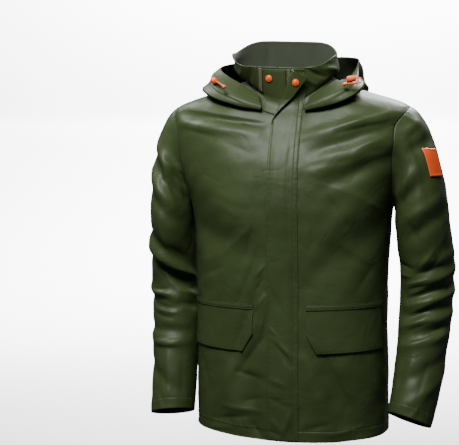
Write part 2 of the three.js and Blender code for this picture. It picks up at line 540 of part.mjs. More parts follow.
// A pocket's band and flap are made from the points of the front they lie on, moved out.
// The flap's lower inner corner is cut off between its first two columns.
const levelIndex = (level) => BELOW.indexOf(level);
function pocketPiece(name, side, levels, rise) {
  wall(name, material(CLOTH, 0.45), levels.length, POCKET_COLUMNS.length, (i, j) => {
    const { point, normal } = frontVertex(side, levelIndex(levels[i]), POCKET_COLUMNS[j]);
    if (j === 0 && levels[i] < POCKET.edge) {
      const above = frontVertex(side, levelIndex(POCKET.edge), POCKET_COLUMNS[j]);
      point.lerp(above.point, 0.88 + 0.04 * i);
    }
    const skin = point.addScaledVector(normal, rise(1 - i / (levels.length - 1)));
    return [under(skin, normal, -WALL), skin];
  });
}
for (const [word, side] of [['left', 1], ['right', -1]]) {
  pocketPiece(`pocket_flap_${word}`, side, [POCKET.bottom, -531, POCKET.edge, -487, POCKET.top], (down) => LIFT + 2.2 * down);
  pocketPiece(`pocket_band_${word}`, side, [POCKET.top, POCKET.band], () => LIFT + WALL + LIFT);
}

// The hood hangs as an open bag: down the coat from the neck seam, round its fold and up to the rim.
function hood(station, round) {
  const at = rowOf(HOOD, station);
  const turn = radians(at.turn);
  const low = radians(at.low);
  const place = (row, lift, share = 1) => {
    const about = mix(turn, low, share);
    return trunk(about, row).addScaledVector(trunkNormal(about, row), lift);
  };
  const down = trunk(low, at.fold - 0.05).sub(trunk(low, at.fold + 0.05)).normalize();
  const outward = new THREE.Vector3(Math.sin(turn), -Math.cos(turn), 0);
  const neck = ringPoint(TRUNK[NECK], turn);
  const rim = neck.clone().addScaledVector(outward, at.out).setZ(at.z);
  const lower = place(at.fold, 4 + 2 * at.full).addScaledVector(down, -0.2 * at.full);
  const belly = lower.clone().lerp(rim, 0.5).addScaledVector(outward, 0.5 * at.full).addScaledVector(trunkNormal(low, at.fold), 0.2 * at.full);
  const points = [
    place(9.5, 3.8, 0),
    place(mix(9.5, at.fold, 0.5), 5, 0.5),
    place(mix(9.5, at.fold, 0.93), 5),
    place(at.fold, 4 + at.full).addScaledVector(down, at.full),
    lower,
    belly,
    rim,
  ];
  return new THREE.CatmullRomCurve3(points, false, 'centripetal').getPoint(Math.min(Math.max(round, 0), 1));
}
const hoodNormal = (station, round) => normalOf(hood, station, Math.min(Math.max(round, 0.01), 0.99), 8e-3);
const HOOD_COLUMNS = 27;
const HOOD_ROWS = 13;
wall('hood', material(CLOTH, 0.45), HOOD_ROWS, HOOD_COLUMNS, (i, j) => {
  const station = (HOOD.length - 1) * j / (HOOD_COLUMNS - 1);
  const point = hood(station, i / (HOOD_ROWS - 1));
  return [point, under(point, hoodNormal(station, i / (HOOD_ROWS - 1)))];
});

// The orange badge lies level on the left upper sleeve.
const BADGE = { top: -143, bottom: -198, from: 131, to: 164, rise: 1.2, thick: 1 };
function sleeveAtHeight(sleeve, around, z) {
  let [low, high] = [0, 1];
  for (let k = 0; k < 20; k++) {
    const middle = (low + high) / 2;
    if (sleevePoint(sleeve, around, middle).z > z) low = middle;
    else high = middle;
  }
  return low;
}
wall('badge', material(ORANGE, 0.5), 5, 5, (i, j) => {
  const around = mix(BADGE.from, BADGE.to, j / 4) / 360;
  const along = sleeveAtHeight(SLEEVES.left, around, mix(BADGE.top, BADGE.bottom, i / 4));
  const skin = (a, s) => sleevePoint(SLEEVES.left, a, s);
  const normal = sleeveOut(SLEEVES.left, skin, around, along);
  const point = skin(around, along);
  return [under(point, normal, -BADGE.rise - BADGE.thick), under(point, normal, -BADGE.rise)];
});

// A round piece turned about the line that leaves the cloth at a place.
function turned(name, paint, profile, base, direction, sides = 16) {
  const geometry = new THREE.LatheGeometry(profile.map(([r, h]) => new THREE.Vector2(r, h)), sides);
  const up = new THREE.Vector3(0, 1, 0);
  const pose = new THREE.Quaternion().setFromUnitVectors(up, direction);
  geometry.applyQuaternion(pose);
  geometry.translate(base.x, base.y, base.z);
  const mesh = new THREE.Mesh(geometry, paint);
  mesh.name = name;
  group.add(mesh);
}
const SNAP = [[0, 0], [7, 0], [7, 1.2], [5.8, 2.3], [3, 2.8], [0, 2.9]];
function snap(name, x, level, height) {
  const normal = stripNormal(x, level);
  turned(name, material(ORANGE, 0.35), SNAP, under(frontStrip(x, level), normal, -height), normal);
}
snap('snap_placket', -31, -3, PLACKET.rise + WALL + 0.6);
snap('snap_flap', 21, -12, FLAP.over + 2 * (FLAP.roll + WALL) + 0.5);

// Each hood cord leaves a barrel lock on the hood's front and ends in a small knob.
// Steps are along the hood, away from it and up it.
const LOCK = { long: 19, radius: 6.5 };
const CORD_RADIUS = 1.6;
const LOCK_PROFILE = [[0, 0], [4, 0], [6, 1.8], [LOCK.radius, 5], [LOCK.radius, 14], [6, 17.2], [4, LOCK.long], [0, LOCK.long]];
const KNOB_PROFILE = [[0, 0], [2.2, 0], [3.6, 3], [3.6, 6.5], [2.2, 9], [0, 9]];
const CORDS = {
  left: {
    station: 2.3, round: 0.78, axis: [1, 0.1, 0.25],
    path: [[0, 0, 0], [6, 1, -1], [10, 0, -10], [8, -1, -21], [-3, 0, -28], [-17, 0, -31]],
  },
  right: {
    station: 11.45, round: 0.78, axis: [0.85, 0.15, -0.5],
    path: [[0, 0, 0], [8, 0, -5], [17, 0, -10], [25, 0, -15], [32, 0, -20]],
  },
};

function tube(name, paint, path, radius, steps, sides) {
  const curve = new THREE.CatmullRomCurve3(path);
  const frames = curve.computeFrenetFrames(steps, false);
  const points = [];
  const faces = [];
  for (let i = 0; i <= steps; i++) {
    const middle = curve.getPointAt(i / steps);
    for (let j = 0; j < sides; j++) {
      const angle = 2 * Math.PI * j / sides;
      const point = middle.clone().addScaledVector(frames.normals[i], radius * Math.cos(angle));
      points.push(...point.addScaledVector(frames.binormals[i], radius * Math.sin(angle)).toArray());
      if (i === 0) continue;
      const next = (j + 1) % sides;
      const [a, b, c, d] = [(i - 1) * sides + j, (i - 1) * sides + next, i * sides + next, i * sides + j];
      faces.push(a, b, c, a, c, d);
    }
  }
  points.push(...path[0].toArray(), ...path[path.length - 1].toArray());
  const middles = points.length / 3 - 2;
  for (let j = 0; j < sides; j++) {
    const next = (j + 1) % sides;
    faces.push(middles, next, j, middles + 1, steps * sides + j, steps * sides + next);
  }
  return solid(name, paint, points, faces);
}

for (const [word, cord] of Object.entries(CORDS)) {
  const away = hoodNormal(cord.station, cord.round);
  const beside = new THREE.Vector3(0, 0, 1).cross(away).normalize();
  const up = away.clone().cross(beside);
  const step = ([b, a, u]) => new THREE.Vector3().addScaledVector(beside, b).addScaledVector(away, a).addScaledVector(up, u);
  const axis = step(cord.axis).normalize();
  const seat = hood(cord.station, cord.round).addScaledVector(away, LOCK.radius + 0.6);
  const top = seat.clone().addScaledVector(axis, -LOCK.long / 2);
  turned(`cord_lock_${word}`, material(ORANGE, 0.4), LOCK_PROFILE, top, axis, 12);
  const exit = top.clone().addScaledVector(axis, LOCK.long + 2 * SEAM);
  const path = cord.path.map((offset) => exit.clone().add(step(offset)));
  tube(`cord_${word}`, material(ORANGE, 0.6), path, CORD_RADIUS, 20, 8);
  const last = path[path.length - 1];
  const heading = last.clone().sub(path[path.length - 2]).normalize();
  turned(`cord_end_${word}`, material(ORANGE, 0.4), KNOB_PROFILE, last.clone().addScaledVector(heading, SEAM), heading, 10);
}

export default group;
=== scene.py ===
import math

import bpy
import numpy as np
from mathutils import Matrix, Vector


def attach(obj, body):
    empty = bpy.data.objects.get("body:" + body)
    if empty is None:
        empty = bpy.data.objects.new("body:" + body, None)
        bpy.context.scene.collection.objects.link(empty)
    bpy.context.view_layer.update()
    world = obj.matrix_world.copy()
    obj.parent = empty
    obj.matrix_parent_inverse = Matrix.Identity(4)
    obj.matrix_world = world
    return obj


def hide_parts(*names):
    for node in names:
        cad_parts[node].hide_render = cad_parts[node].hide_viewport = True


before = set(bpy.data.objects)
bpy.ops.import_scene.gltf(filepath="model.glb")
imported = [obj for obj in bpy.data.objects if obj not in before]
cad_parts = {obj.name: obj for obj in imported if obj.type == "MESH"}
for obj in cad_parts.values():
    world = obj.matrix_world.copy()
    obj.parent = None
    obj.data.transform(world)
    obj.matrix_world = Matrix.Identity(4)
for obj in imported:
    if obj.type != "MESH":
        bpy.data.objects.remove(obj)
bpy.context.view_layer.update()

# The camera
# A long lens stands a little to the wearer's left and just above the middle of the coat,
# and its small shift puts the coat right of the middle of the frame.
CAMERA_TURN = math.radians(11.5)
CAMERA_RISE = math.radians(4)
CAMERA_AWAY = 2.8
CAMERA_AIM = Vector((0, 0, -0.314))
camera = bpy.data.objects.new("camera", bpy.data.cameras.new("camera"))
bpy.context.collection.objects.link(camera)
bpy.context.scene.camera = camera
camera_back = Vector((
    math.sin(CAMERA_TURN) * math.cos(CAMERA_RISE),
    -math.cos(CAMERA_TURN) * math.cos(CAMERA_RISE),
    math.sin(CAMERA_RISE),
))
camera.location = CAMERA_AIM + CAMERA_AWAY * camera_back
camera.rotation_mode = "QUATERNION"
camera.rotation_quaternion = (-camera_back).to_track_quat("-Z", "Y")
camera.data.lens = 105.6
camera.data.sensor_width = 36
camera.data.shift_x = -0.139
camera.data.shift_y = 0.018

# The hood's draw cords
# Thin braided elastic cord, dyed orange. Each tail comes out of its lock on the hood's front
# and hangs free down to a moulded end.
CORD_THICK = 3.2
CORD_TAILS = {
    "left": [
        (142.3, -69.2, -2), (145, -69.2, -1.6), (147.7, -69.5, -1.4), (149.9, -71, -2.2),
        (151.4, -72.9, -3.5), (152.5, -75, -4.9), (153.3, -77.3, -6.3), (153.7, -79.6, -7.8),
        (153.7, -82, -9.2), (153.4, -84.4, -10.5), (152.5, -86.7, -11.7), (150.8, -88.8, -12.5),
        (148.8, -90.6, -12.9), (146.6, -92.2, -13.3), (144.3, -93.7, -13.5), (141.8, -95, -13.8),
        (139.3, -96.1, -14.1), (136.7, -96.9, -14.4), (134, -97.7, -14.6), (131.3, -98.4, -14.8),
        (128.7, -99.1, -15),
    ],
    "right": [
        (-144.7, -75.8, -6.5), (-142.5, -78.6, -7.6), (-140.2, -81.4, -8.7), (-137.9, -84.2, -9.8),
        (-135.5, -86.9, -10.8), (-133.1, -89.7, -11.8), (-130.8, -92.4, -12.8), (-128.5, -95.3, -13.9),
        (-126.3, -98.1, -15.1), (-124.2, -101.1, -16.3), (-122.2, -104, -17.5),
    ],
}
ORANGE = (0.78, 0.095, 0.006, 1)


def along_table(table, at):
    """A Catmull-Rom curve through the rows of a table, read at fractional rows; the end stretches run on."""
    rows = np.asarray(table, float)
    rows = np.vstack([2 * rows[0] - rows[1], rows, 2 * rows[-1] - rows[-2]])
    at = np.asarray(at, float)
    i = np.clip(np.floor(at).astype(int), 0, len(rows) - 4)
    t = (at - i)[..., None]
    a, b, c, d = rows[i], rows[i + 1], rows[i + 2], rows[i + 3]
    bend = (2 * a - 5 * b + 4 * c - d) * t**2 + (3 * b - a - 3 * c + d) * t**3
    return 0.5 * (2 * b + (c - a) * t + bend)


def unit(vectors):
    """Vectors divided by their own length."""
    return vectors / np.linalg.norm(vectors, axis=-1, keepdims=True)


def grid_faces(rows, columns, looped=False):
    """Quads of a grid of points, row after row; a looped grid joins its last column to its first."""
    i = np.arange(rows - 1)[:, None]
    j = np.arange(columns if looped else columns - 1)[None, :]
    k = (j + 1) % columns
    corners = [i * columns + j, i * columns + k, (i + 1) * columns + k, (i + 1) * columns + j]
    return np.stack(np.broadcast_arrays(*corners), -1).reshape(-1, 4)


def mesh_piece(name, points, faces, uv=None):
    """A smooth mesh from points in millimetres and quads; uv holds one pair for each point."""
    mesh = bpy.data.meshes.new(name)
    flat = np.asarray(points, float).reshape(-1, 3) * 0.001
    mesh.vertices.add(len(flat))
    mesh.vertices.foreach_set("co", flat.ravel())
    mesh.loops.add(4 * len(faces))
    mesh.loops.foreach_set("vertex_index", np.asarray(faces).ravel())
    mesh.polygons.add(len(faces))
    mesh.polygons.foreach_set("loop_start", 4 * np.arange(len(faces)))
    mesh.update(calc_edges=True)
    mesh.polygons.foreach_set("use_smooth", np.ones(len(faces), bool))
    if uv is not None:
        layer = mesh.uv_layers.new(name="cut")
        corners = np.asarray(uv, float).reshape(-1, 2)[np.asarray(faces).ravel()]
        layer.data.foreach_set("uv", corners.ravel())
    piece = bpy.data.objects.new(name, mesh)
    bpy.context.collection.objects.link(piece)
    return piece


def tube(name, path, radius, sides=14):
    """Rings round a path: middle + radius (side cos a + up sin a), with side level and square to the path."""
    path = np.asarray(path, float)
    radius = np.broadcast_to(radius, len(path))
    ahead = unit(np.gradient(path, axis=0))
    side = unit(np.cross(ahead, (0, 0, 1.0)))
    up = np.cross(side, ahead)
    a = np.linspace(0, 2 * np.pi, sides, endpoint=False)
    ring = np.cos(a)[None, :, None] * side[:, None] + np.sin(a)[None, :, None] * up[:, None]
    points = path[:, None] + radius[:, None, None] * ring
    length = np.concatenate([[0], np.cumsum(np.linalg.norm(np.diff(path, axis=0), axis=1))])
    uv = np.stack(np.broadcast_arrays(a[None, :] / (2 * np.pi), length[:, None] / 10), -1)
    return mesh_piece(name, points, grid_faces(len(path), sides, True)[:, ::-1], uv)


def new_material(name, colour, roughness):
    """A named material with its shader, its node tree and that shader's plain colour and roughness set."""
    material = bpy.data.materials.new(name)
    material.use_nodes = True
    shader = material.node_tree.nodes["Principled BSDF"]
    shader.inputs["Base Color"].default_value = colour
    shader.inputs["Roughness"].default_value = roughness
    return material, material.node_tree, shader


def add_node(tree, kind, **values):
    """A node of a kind with its named inputs set, or its properties where there is no such input."""
    node = tree.nodes.new(kind)
    for key, value in values.items():
        if key in node.inputs:
            node.inputs[key].default_value = value
        else:
            setattr(node, key, value)
    return node


def on_object(tree, *textures):
    """Textures read at the piece's own coordinates."""
    place = add_node(tree, "ShaderNodeTexCoord")
    for texture in textures:
        tree.links.new(place.outputs["Object"], texture.inputs["Vector"])


def uneven_gloss(tree, shader, noise, low, high):
    """A roughness that runs from low to high with a noise."""
    spread = add_node(tree, "ShaderNodeMapRange", **{"To Min": low, "To Max": high})
    tree.links.new(noise.outputs["Fac"], spread.inputs["Value"])
    tree.links.new(spread.outputs["Result"], shader.inputs["Roughness"])


def raised(tree, shader, height, distance, strength=1.0, below=None):
    """A bump from a height socket, on top of an earlier bump; returns the bump node."""
    bump = add_node(tree, "ShaderNodeBump", Distance=distance, Strength=strength)
    tree.links.new(height, bump.inputs["Height"])
    if below is not None:
        tree.links.new(below.outputs["Normal"], bump.inputs["Normal"])
    tree.links.new(bump.outputs["Normal"], shader.inputs["Normal"])
    return bump


def braided_cord():
    """Orange braid: two sets of slanting waves over the cord's own coordinates cross each other."""
    material, tree, shader = new_material("braided_cord", ORANGE, 0.62)
    place = add_node(tree, "ShaderNodeTexCoord")
    waves = []
    for slant in (1, -1):
        turn = add_node(tree, "ShaderNodeMapping", Scale=(6.0, 8.0 * slant, 1))
        wave = add_node(tree, "ShaderNodeTexWave", wave_type="BANDS", bands_direction="DIAGONAL", Scale=1.0)
        tree.links.new(place.outputs["UV"], turn.inputs["Vector"])
        tree.links.new(turn.outputs["Vector"], wave.inputs["Vector"])
        waves.append(wave)
    both = add_node(tree, "ShaderNodeMath", operation="MULTIPLY")
    tree.links.new(waves[0].outputs["Fac"], both.inputs[0])
    tree.links.new(waves[1].outputs["Fac"], both.inputs[1])
    raised(tree, shader, both.outputs["Value"], 0.0003, 0.8)
    return material


cord_material = braided_cord()
cord_tails = {}
cord_paths = {}
for side, tail in CORD_TAILS.items():
    cord_paths[side] = along_table(tail, np.linspace(0, len(tail) - 1, 70))
    cord_tails[side] = tube(f"cord_tail_{side}", cord_paths[side], CORD_THICK / 2)
    cord_tails[side].data.materials.append(cord_material)
    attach(cord_tails[side], "root")
    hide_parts(f"cord_{side}")

# The cord ends and cord locks
# Moulded orange nylon. A ribbed barrel with a spring button pinches the cord, an eyelet on its
# back holds it to the hood's rim, and a small bell closes the end of each tail.
CORD_ENDS = {
    "left": ((128.41, -99.24, -15.06), (-0.9486, -0.3040, -0.0880)),
    "right": ((-122.03, -104.22, -17.58), (0.5484, -0.7733, -0.3183)),
}
CORD_LOCKS = {
    "left": ((123.88, -74.91, -5.72), (0.9379, 0.2910, 0.1890)),
    "right": ((-156.04, -60.03, -3.62), (0.5773, -0.8029, -0.1486)),
}
END_PROFILE = [
    (0, 0), (1.9, 0), (2.3, 0.3), (2.7, 1.4), (3.5, 2.7), (3.7, 3.2), (3.7, 4.2), (3.3, 4.4), (3.3, 4.9),
    (3.7, 5.1), (3.7, 6.4), (3.4, 7.2), (2.6, 8.4), (1.6, 8.9), (0, 9),
]
BARREL_PROFILE = [
    (0, 0), (3.6, 0), (4.4, 0.3), (5.8, 1.5), (6.4, 3), (6.4, 3.6), (5.9, 3.9), (5.9, 4.5), (6.4, 4.8),
    (6.5, 5.8), (6.0, 6.1), (6.0, 6.7), (6.5, 7.0), (6.5, 8.1), (6.0, 8.4), (6.0, 9.0), (6.5, 9.3),
    (6.5, 11.6), (6.2, 12.1), (4.9, 12.3), (4.9, 13.2), (5.9, 13.4), (6.1, 13.8), (6.1, 16.2), (5.7, 17.4),
    (4.6, 18.5), (3.2, 18.95), (0, 19),
]


def turned(name, profile, base, axis, sides=40):
    """A profile of (radius, height) pairs turned about an axis from a base point."""
    profile = np.asarray(profile, float)
    axis = unit(np.asarray(axis, float))
    side = unit(np.cross(axis, (0.1, 0.2, 1.0)))
    other = np.cross(axis, side)
    a = np.linspace(0, 2 * np.pi, sides, endpoint=False)
    ring = np.cos(a)[:, None] * side + np.sin(a)[:, None] * other
    radius = np.maximum(profile[:, 0], 0.02)
    points = np.asarray(base) + radius[:, None, None] * ring[None] + profile[:, 1][:, None, None] * axis
    return mesh_piece(name, points, grid_faces(len(profile), sides, True))


def moulded_plastic(name, colour, roughness):
    """Moulded plastic: an even colour, a fine spark-eroded grain and a slow change of gloss."""
    material, tree, shader = new_material(name, colour, roughness)
    grain = add_node(tree, "ShaderNodeTexNoise", Scale=2600.0, Detail=2.0)
    gloss = add_node(tree, "ShaderNodeTexNoise", Scale=160.0, Detail=3.0)
    on_object(tree, grain, gloss)
    uneven_gloss(tree, shader, gloss, roughness - 0.08, roughness + 0.1)
    raised(tree, shader, grain.outputs["Fac"], 0.00012, 0.5)
    return material


lock_material = moulded_plastic("moulded_orange", ORANGE, 0.42)
for side in ("left", "right"):
    end = turned(f"cord_bell_{side}", END_PROFILE, *CORD_ENDS[side])
    barrel = turned(f"cord_barrel_{side}", BARREL_PROFILE, *CORD_LOCKS[side])
    moulded = ((end, f"cord_end_{side}", "cord_end"), (barrel, f"cord_lock_{side}", "cord_lock"))
    for piece, node, slot in moulded:
        piece.data.materials.append(lock_material)
        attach(piece, "root")
        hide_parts(node)

# The two fronts
# Knitted polyester with a thick polyurethane coat on its face, cut to hang from the neck seam to the
# hem. The fronts meet under the storm flap, and their edges are turned in and stitched twice.
# Half width, front and back depth, front, side and back height, power and skew, from the hem up.
TRUNK = np.array([
    (200, 140, 140, -727, -718, -748, 2.4, -6),
    (199, 143, 138, -600, -592, -606, 2.4, -3),
    (197, 142, 132, -470, -466, -474, 2.4, 0),
    (201, 146, 136, -350, -347, -350, 2.4, 0),
    (209, 152, 145, -262, -262, -250, 2.4, 0),
    (238, 146, 140, -195, -165, -165, 2.4, 0),
    (250, 132, 128, -150, -98, -105, 2.4, 0),
    (242, 112, 110, -112, -57, -62, 2.4, 0),
    (168, 100, 92, -88, -30, -32, 2.4, 0),
    (98, 89, 80, -70, -11, -16, 2.2, 0),
    (86, 80, 73, -54, 2, -3, 2.1, 0),
])
HEM, UNDERARM, SHOULDER, NECK = 0, 4, 7, 10
ARMHOLE = {"left": 80, "right": 60, "back": 72}
# A fold or crease runs from (x0, z0) to (x1, z1), then gives its half width and its height.
FRONT_FOLDS = np.array([
    (225, -75, 40, -120, 13, 5.5), (222, -96, 60, -150, 12, -5.5), (214, -132, 70, -185, 15, 6),
    (212, -162, 90, -217, 15, -7), (-215, -72, -40, -94, 11, -5.5), (-215, -92, -50, -116, 11, 4.5),
    (-60, -290, -185, -195, 30, 6), (-70, -340, -190, -300, 26, -5), (190, -300, 60, -400, 28, -6),
    (175, -240, 90, -310, 24, 5), (80, -562, 150, -712, 17, -7), (52, -562, 108, -722, 17, 5),
    (-30, -440, -70, -545, 12, 5), (-45, -425, -98, -560, 11, -4.5), (-110, -575, -85, -722, 20, 5),
    (-60, -600, -45, -722, 14, -4),
])
BACK_FOLDS = np.array([
    (88, -140, 84, -655, 15, -8), (55, -190, 58, -700, 15, 5), (118, -230, 112, -600, 13, 5),
    (138, -290, 134, -570, 12, -5), (100, -118, 166, -238, 9, -6), (122, -112, 180, -215, 11, 5),
    (-58, -240, -60, -430, 19, -5), (-30, -330, -34, -560, 16, 4), (-96, -130, -160, -240, 11, -6),
    (-118, -118, -180, -225, 12, 5), (-118, -300, -122, -640, 17, -6), (-90, -420, -92, -690, 15, 4.5),
])
FRONT_CREASES = np.array([
    (-200, -63, -42, -88, 4, -2.7), (-150, -92, -48, -103, 5, -1.4), (-206, -104, -140, -118, 4, 1.8),
    (206, -72, 108, -101, 4.5, 2.7), (208, -90, 112, -112, 5, -2.7), (208, -118, 152, -142, 5, 3),
    (156, -141, 66, -167, 7, 2.1), (208, -140, 122, -168, 6, -2.7), (136, -166, 56, -178, 6, -1.8),
    (194, -128, 160, -137, 3, 1.4), (186, -150, 140, -161, 4, 1.3), (-208, -84, -150, -88, 4, 1.8),
    (-49, -285, -80, -395, 8, 3.6), (-60, -300, -116, -352, 10, -3.2), (-150, -236, -70, -262, 12, 1.4),
    (96, -232, 131, -296, 8, -3), (62, -205, 152, -232, 9, 2.1), (152, -232, 200, -268, 8, 2.1),
    (-41, -340, -85, -450, 6, 3.2), (-31, -375, -49, -398, 3.5, -3.5), (-31, -436, -49, -462, 3.5, -3.5),
    (-33, -400, -47, -425, 4, 3), (-31, -470, -42, -520, 4, -2.8), (-34, -520, -86, -592, 7, 3.6),
    (-85, -560, -104, -606, 6, -2.8), (-88, -588, -36, -602, 5, 2.6), (-120, -660, -40, -668, 5, -2.8),
    (-140, -690, -62, -678, 6, 3.2), (-60, -690, -36, -720, 5, 3), (-32, -640, -70, -648, 5, 1.9),
    (-164, -712, -100, -704, 5, -2.2), (61, -458, 65, -495, 4, 3), (69, -462, 75, -500, 4, -3),
    (81, -464, 87, -486, 3.5, 2.6), (95, -466, 99, -486, 3.5, -1.9), (91, -556, 154, -690, 6, -3.2),
    (55, -560, 69, -602, 5, 2.2), (100, -712, 160, -700, 5, 2.4), (54, -702, 100, -690, 5, -2.2),
    (178, -560, 190, -640, 7, 2.4), (-178, -560, -150, -640, 9, 2.2), (-170, -400, -120, -380, 9, 2.2),
    (150, -430, 184, -370, 9, -2.4), (120, -330, 176, -372, 9, 2.2), (-120, -128, -60, -150, 8, 1.3),
])
FRONT_SPLIT = 4
FLAP_SEAM = 38
SEAM_GAP = 0.3
SEAM_ROWS = (2, 8)
HEM_LEVEL = -727
UNDERARM_LEVEL = -266
HEM_TURN = 22
CLOTH_THICK = 1.1
OLIVE = (0.030, 0.045, 0.013, 1)
BACKING_GREEN = (0.020, 0.028, 0.011, 1)


def section(ring, turn, shift=0.0, steep=2.0):
    """A rounded box: reach is (|sin/wide|^n + |cos/depth|^n)^(-1/n), and the height runs from side to end."""
    wide, front, back, z_front, z_side, z_back, square, skew = np.moveaxis(ring, -1, 0)
    s, c = np.sin(turn), np.cos(turn)
    depth = np.where(c > 0, front, back)
    reach = (np.abs(s / wide) ** square + np.abs(c / depth) ** square) ** (-1 / square)
    to_end = 1 - np.abs(s) ** steep
    end = np.where(c > 0, z_front, z_back)
    height = z_side + (end - z_side) * to_end + skew * s
    return np.stack(np.broadcast_arrays(shift + reach * s, -reach * c, height), -1)


def turn_at_x(ring, x):
    """The turn of a section's front at which it is x from the middle."""
    wide, front, square = ring[..., 0], ring[..., 1], ring[..., 6]
    share = np.minimum(np.abs(x) / wide, 1)
    return np.sign(x) * np.arctan2(np.abs(x), front * (1 - share**square) ** (1 / square))


def turn_at_y(ring, y, face):
    """The turn of a section's side at which it stands y forward (face 1) or back (face -1) of the middle."""
    depth, square = ring[..., 1 if face > 0 else 2], ring[..., 6]
    side = np.arctan2(ring[..., 0] * (1 - (y / depth) ** square) ** (1 / square), y)
    return side if face > 0 else np.pi - side


def ease(t):
    """3t^2 - 2t^3 between 0 and 1, level outside."""
    t = np.clip(t, 0, 1)
    return t * t * (3 - 2 * t)


def fold_height(folds, u, v, stretch=1.0, crisp=False):
    """Sum over folds of high exp(-off^2) sin(pi (0.14 + 0.72 along)), with off in halves from its line.

    A crisp fold takes exp(-off^2 / (0.3 + off)) instead, which has a sharper crest and longer skirts.
    """
    total = np.zeros(np.broadcast(u, v).shape)
    for u0, v0, u1, v1, half, high in folds:
        du, dv = (u1 - u0) * stretch, v1 - v0
        pu, pv = (u - u0) * stretch, v - v0
        along = np.clip((pu * du + pv * dv) / (du * du + dv * dv), 0, 1)
        off = np.hypot(pu - along * du, pv - along * dv) / half
        fall = off * off / (0.3 + off) if crisp else off * off
        total = total + high * np.exp(-fall) * np.sin(np.pi * (0.14 + 0.72 * along))
    return total


def grid_normal(points, looped=False):
    """The unit cross products of a grid's chords, each between the two neighbours of a point."""
    across = np.roll(points, -1, 1) - np.roll(points, 1, 1) if looped else np.gradient(points, axis=1)
    return unit(np.cross(across, np.gradient(points, axis=0)))


def normal_of(surface, u, v, step):
    """The unit cross product of a surface's two slopes, each taken over a small step."""
    du = surface(u + step, v) - surface(u - step, v)
    dv = surface(u, v + step) - surface(u, v - step)
    return unit(np.cross(du, dv))


def plain_trunk(turn, row):
    """The coat's form without its folds: the section at a row of the trunk's table."""
    return section(along_table(TRUNK, row), turn)


def trunk(turn, row):
    """The form pushed out along its own normal by the fold height, which fades out towards the sides."""
    point = plain_trunk(turn, row)
    c = np.cos(turn)
    front = fold_height(FRONT_FOLDS, point[..., 0], point[..., 2])
    back = fold_height(BACK_FOLDS, point[..., 0], point[..., 2])
    height = np.where(c > 0, front, back) * ease(np.abs(c) / 0.32)
    return point + normal_of(plain_trunk, turn, row, 1e-3) * height[..., None]


def trunk_normal(turn, row):
    """The normal of the folded form."""
    return normal_of(trunk, turn, row, 2e-3)


def row_at(level):
    """The trunk row whose height on the centre front is the level."""
    rows = np.linspace(HEM, NECK, 2001)
    return np.interp(level, along_table(TRUNK, rows)[:, 3], rows)


def with_marks(values, marks, offsets=(-1.8, -0.9, -0.45, 0, 0.45, 0.9, 1.8)):
    """Grid values with a few more close round each mark, where a row of stitching draws the cloth in."""
    extra = np.add.outer(np.asarray(marks, float), np.asarray(offsets)).ravel()
    inside = extra[(extra > values.min()) & (extra < values.max())]
    joined = np.unique(np.round(np.concatenate([values, inside]), 4))
    return joined[np.concatenate([[True], np.diff(joined) > 0.12])]


def drawn_in(distance, marks=SEAM_ROWS, deep=0.75, wide=1.1):
    """The groove of each stitching row: minus deep exp(-((distance - mark)/wide)^2), and a soft edge at 0."""
    height = -0.9 * np.exp(-((distance / 0.9) ** 2))
    for mark in marks:
        height = height - deep * np.exp(-(((distance - mark) / wide) ** 2))
    return height


def puckers(run, distance, reach=9.0, high=0.42):
    """Small uneven ripples across a seam: sines of the run along it, dying out with distance from it."""
    wave = np.sin(run * 0.62) + 0.7 * np.sin(run * 0.41 + 1.3) + 0.5 * np.sin(run * 0.93 + 0.6)
    return high * wave * np.exp(-((distance / reach) ** 2)) * (0.55 + 0.45 * np.sin(run * 0.057 + 0.8))


def turned_edge(distance, turn):
    """A step up of 0.5 where the cloth is double, and the groove of its row of stitching."""
    return 0.5 * ease((turn + 1 - distance) / 2) + drawn_in(distance, (turn,), 0.5)


def slack(point, high=0.35):
    """The slow unevenness of cloth that holds no fold: four crossing waves 40 to 110 mm long."""
    x, y, z = np.moveaxis(point, -1, 0)
    waves = np.sin(0.071 * x + 0.043 * z + 0.9) + np.sin(0.052 * z - 0.088 * y + 2.1)
    waves = waves + 0.7 * np.sin(0.131 * x - 0.083 * z + 0.4) + 0.6 * np.sin(0.117 * y + 0.149 * z + 1.7)
    return high * waves


def lengths_along(points, axis):
    """Distance run along a grid's axis from its first line."""
    step = np.linalg.norm(np.diff(points, axis=axis), axis=-1)
    return np.concatenate([np.zeros_like(np.take(step, [0], axis)), np.cumsum(step, axis)], axis)


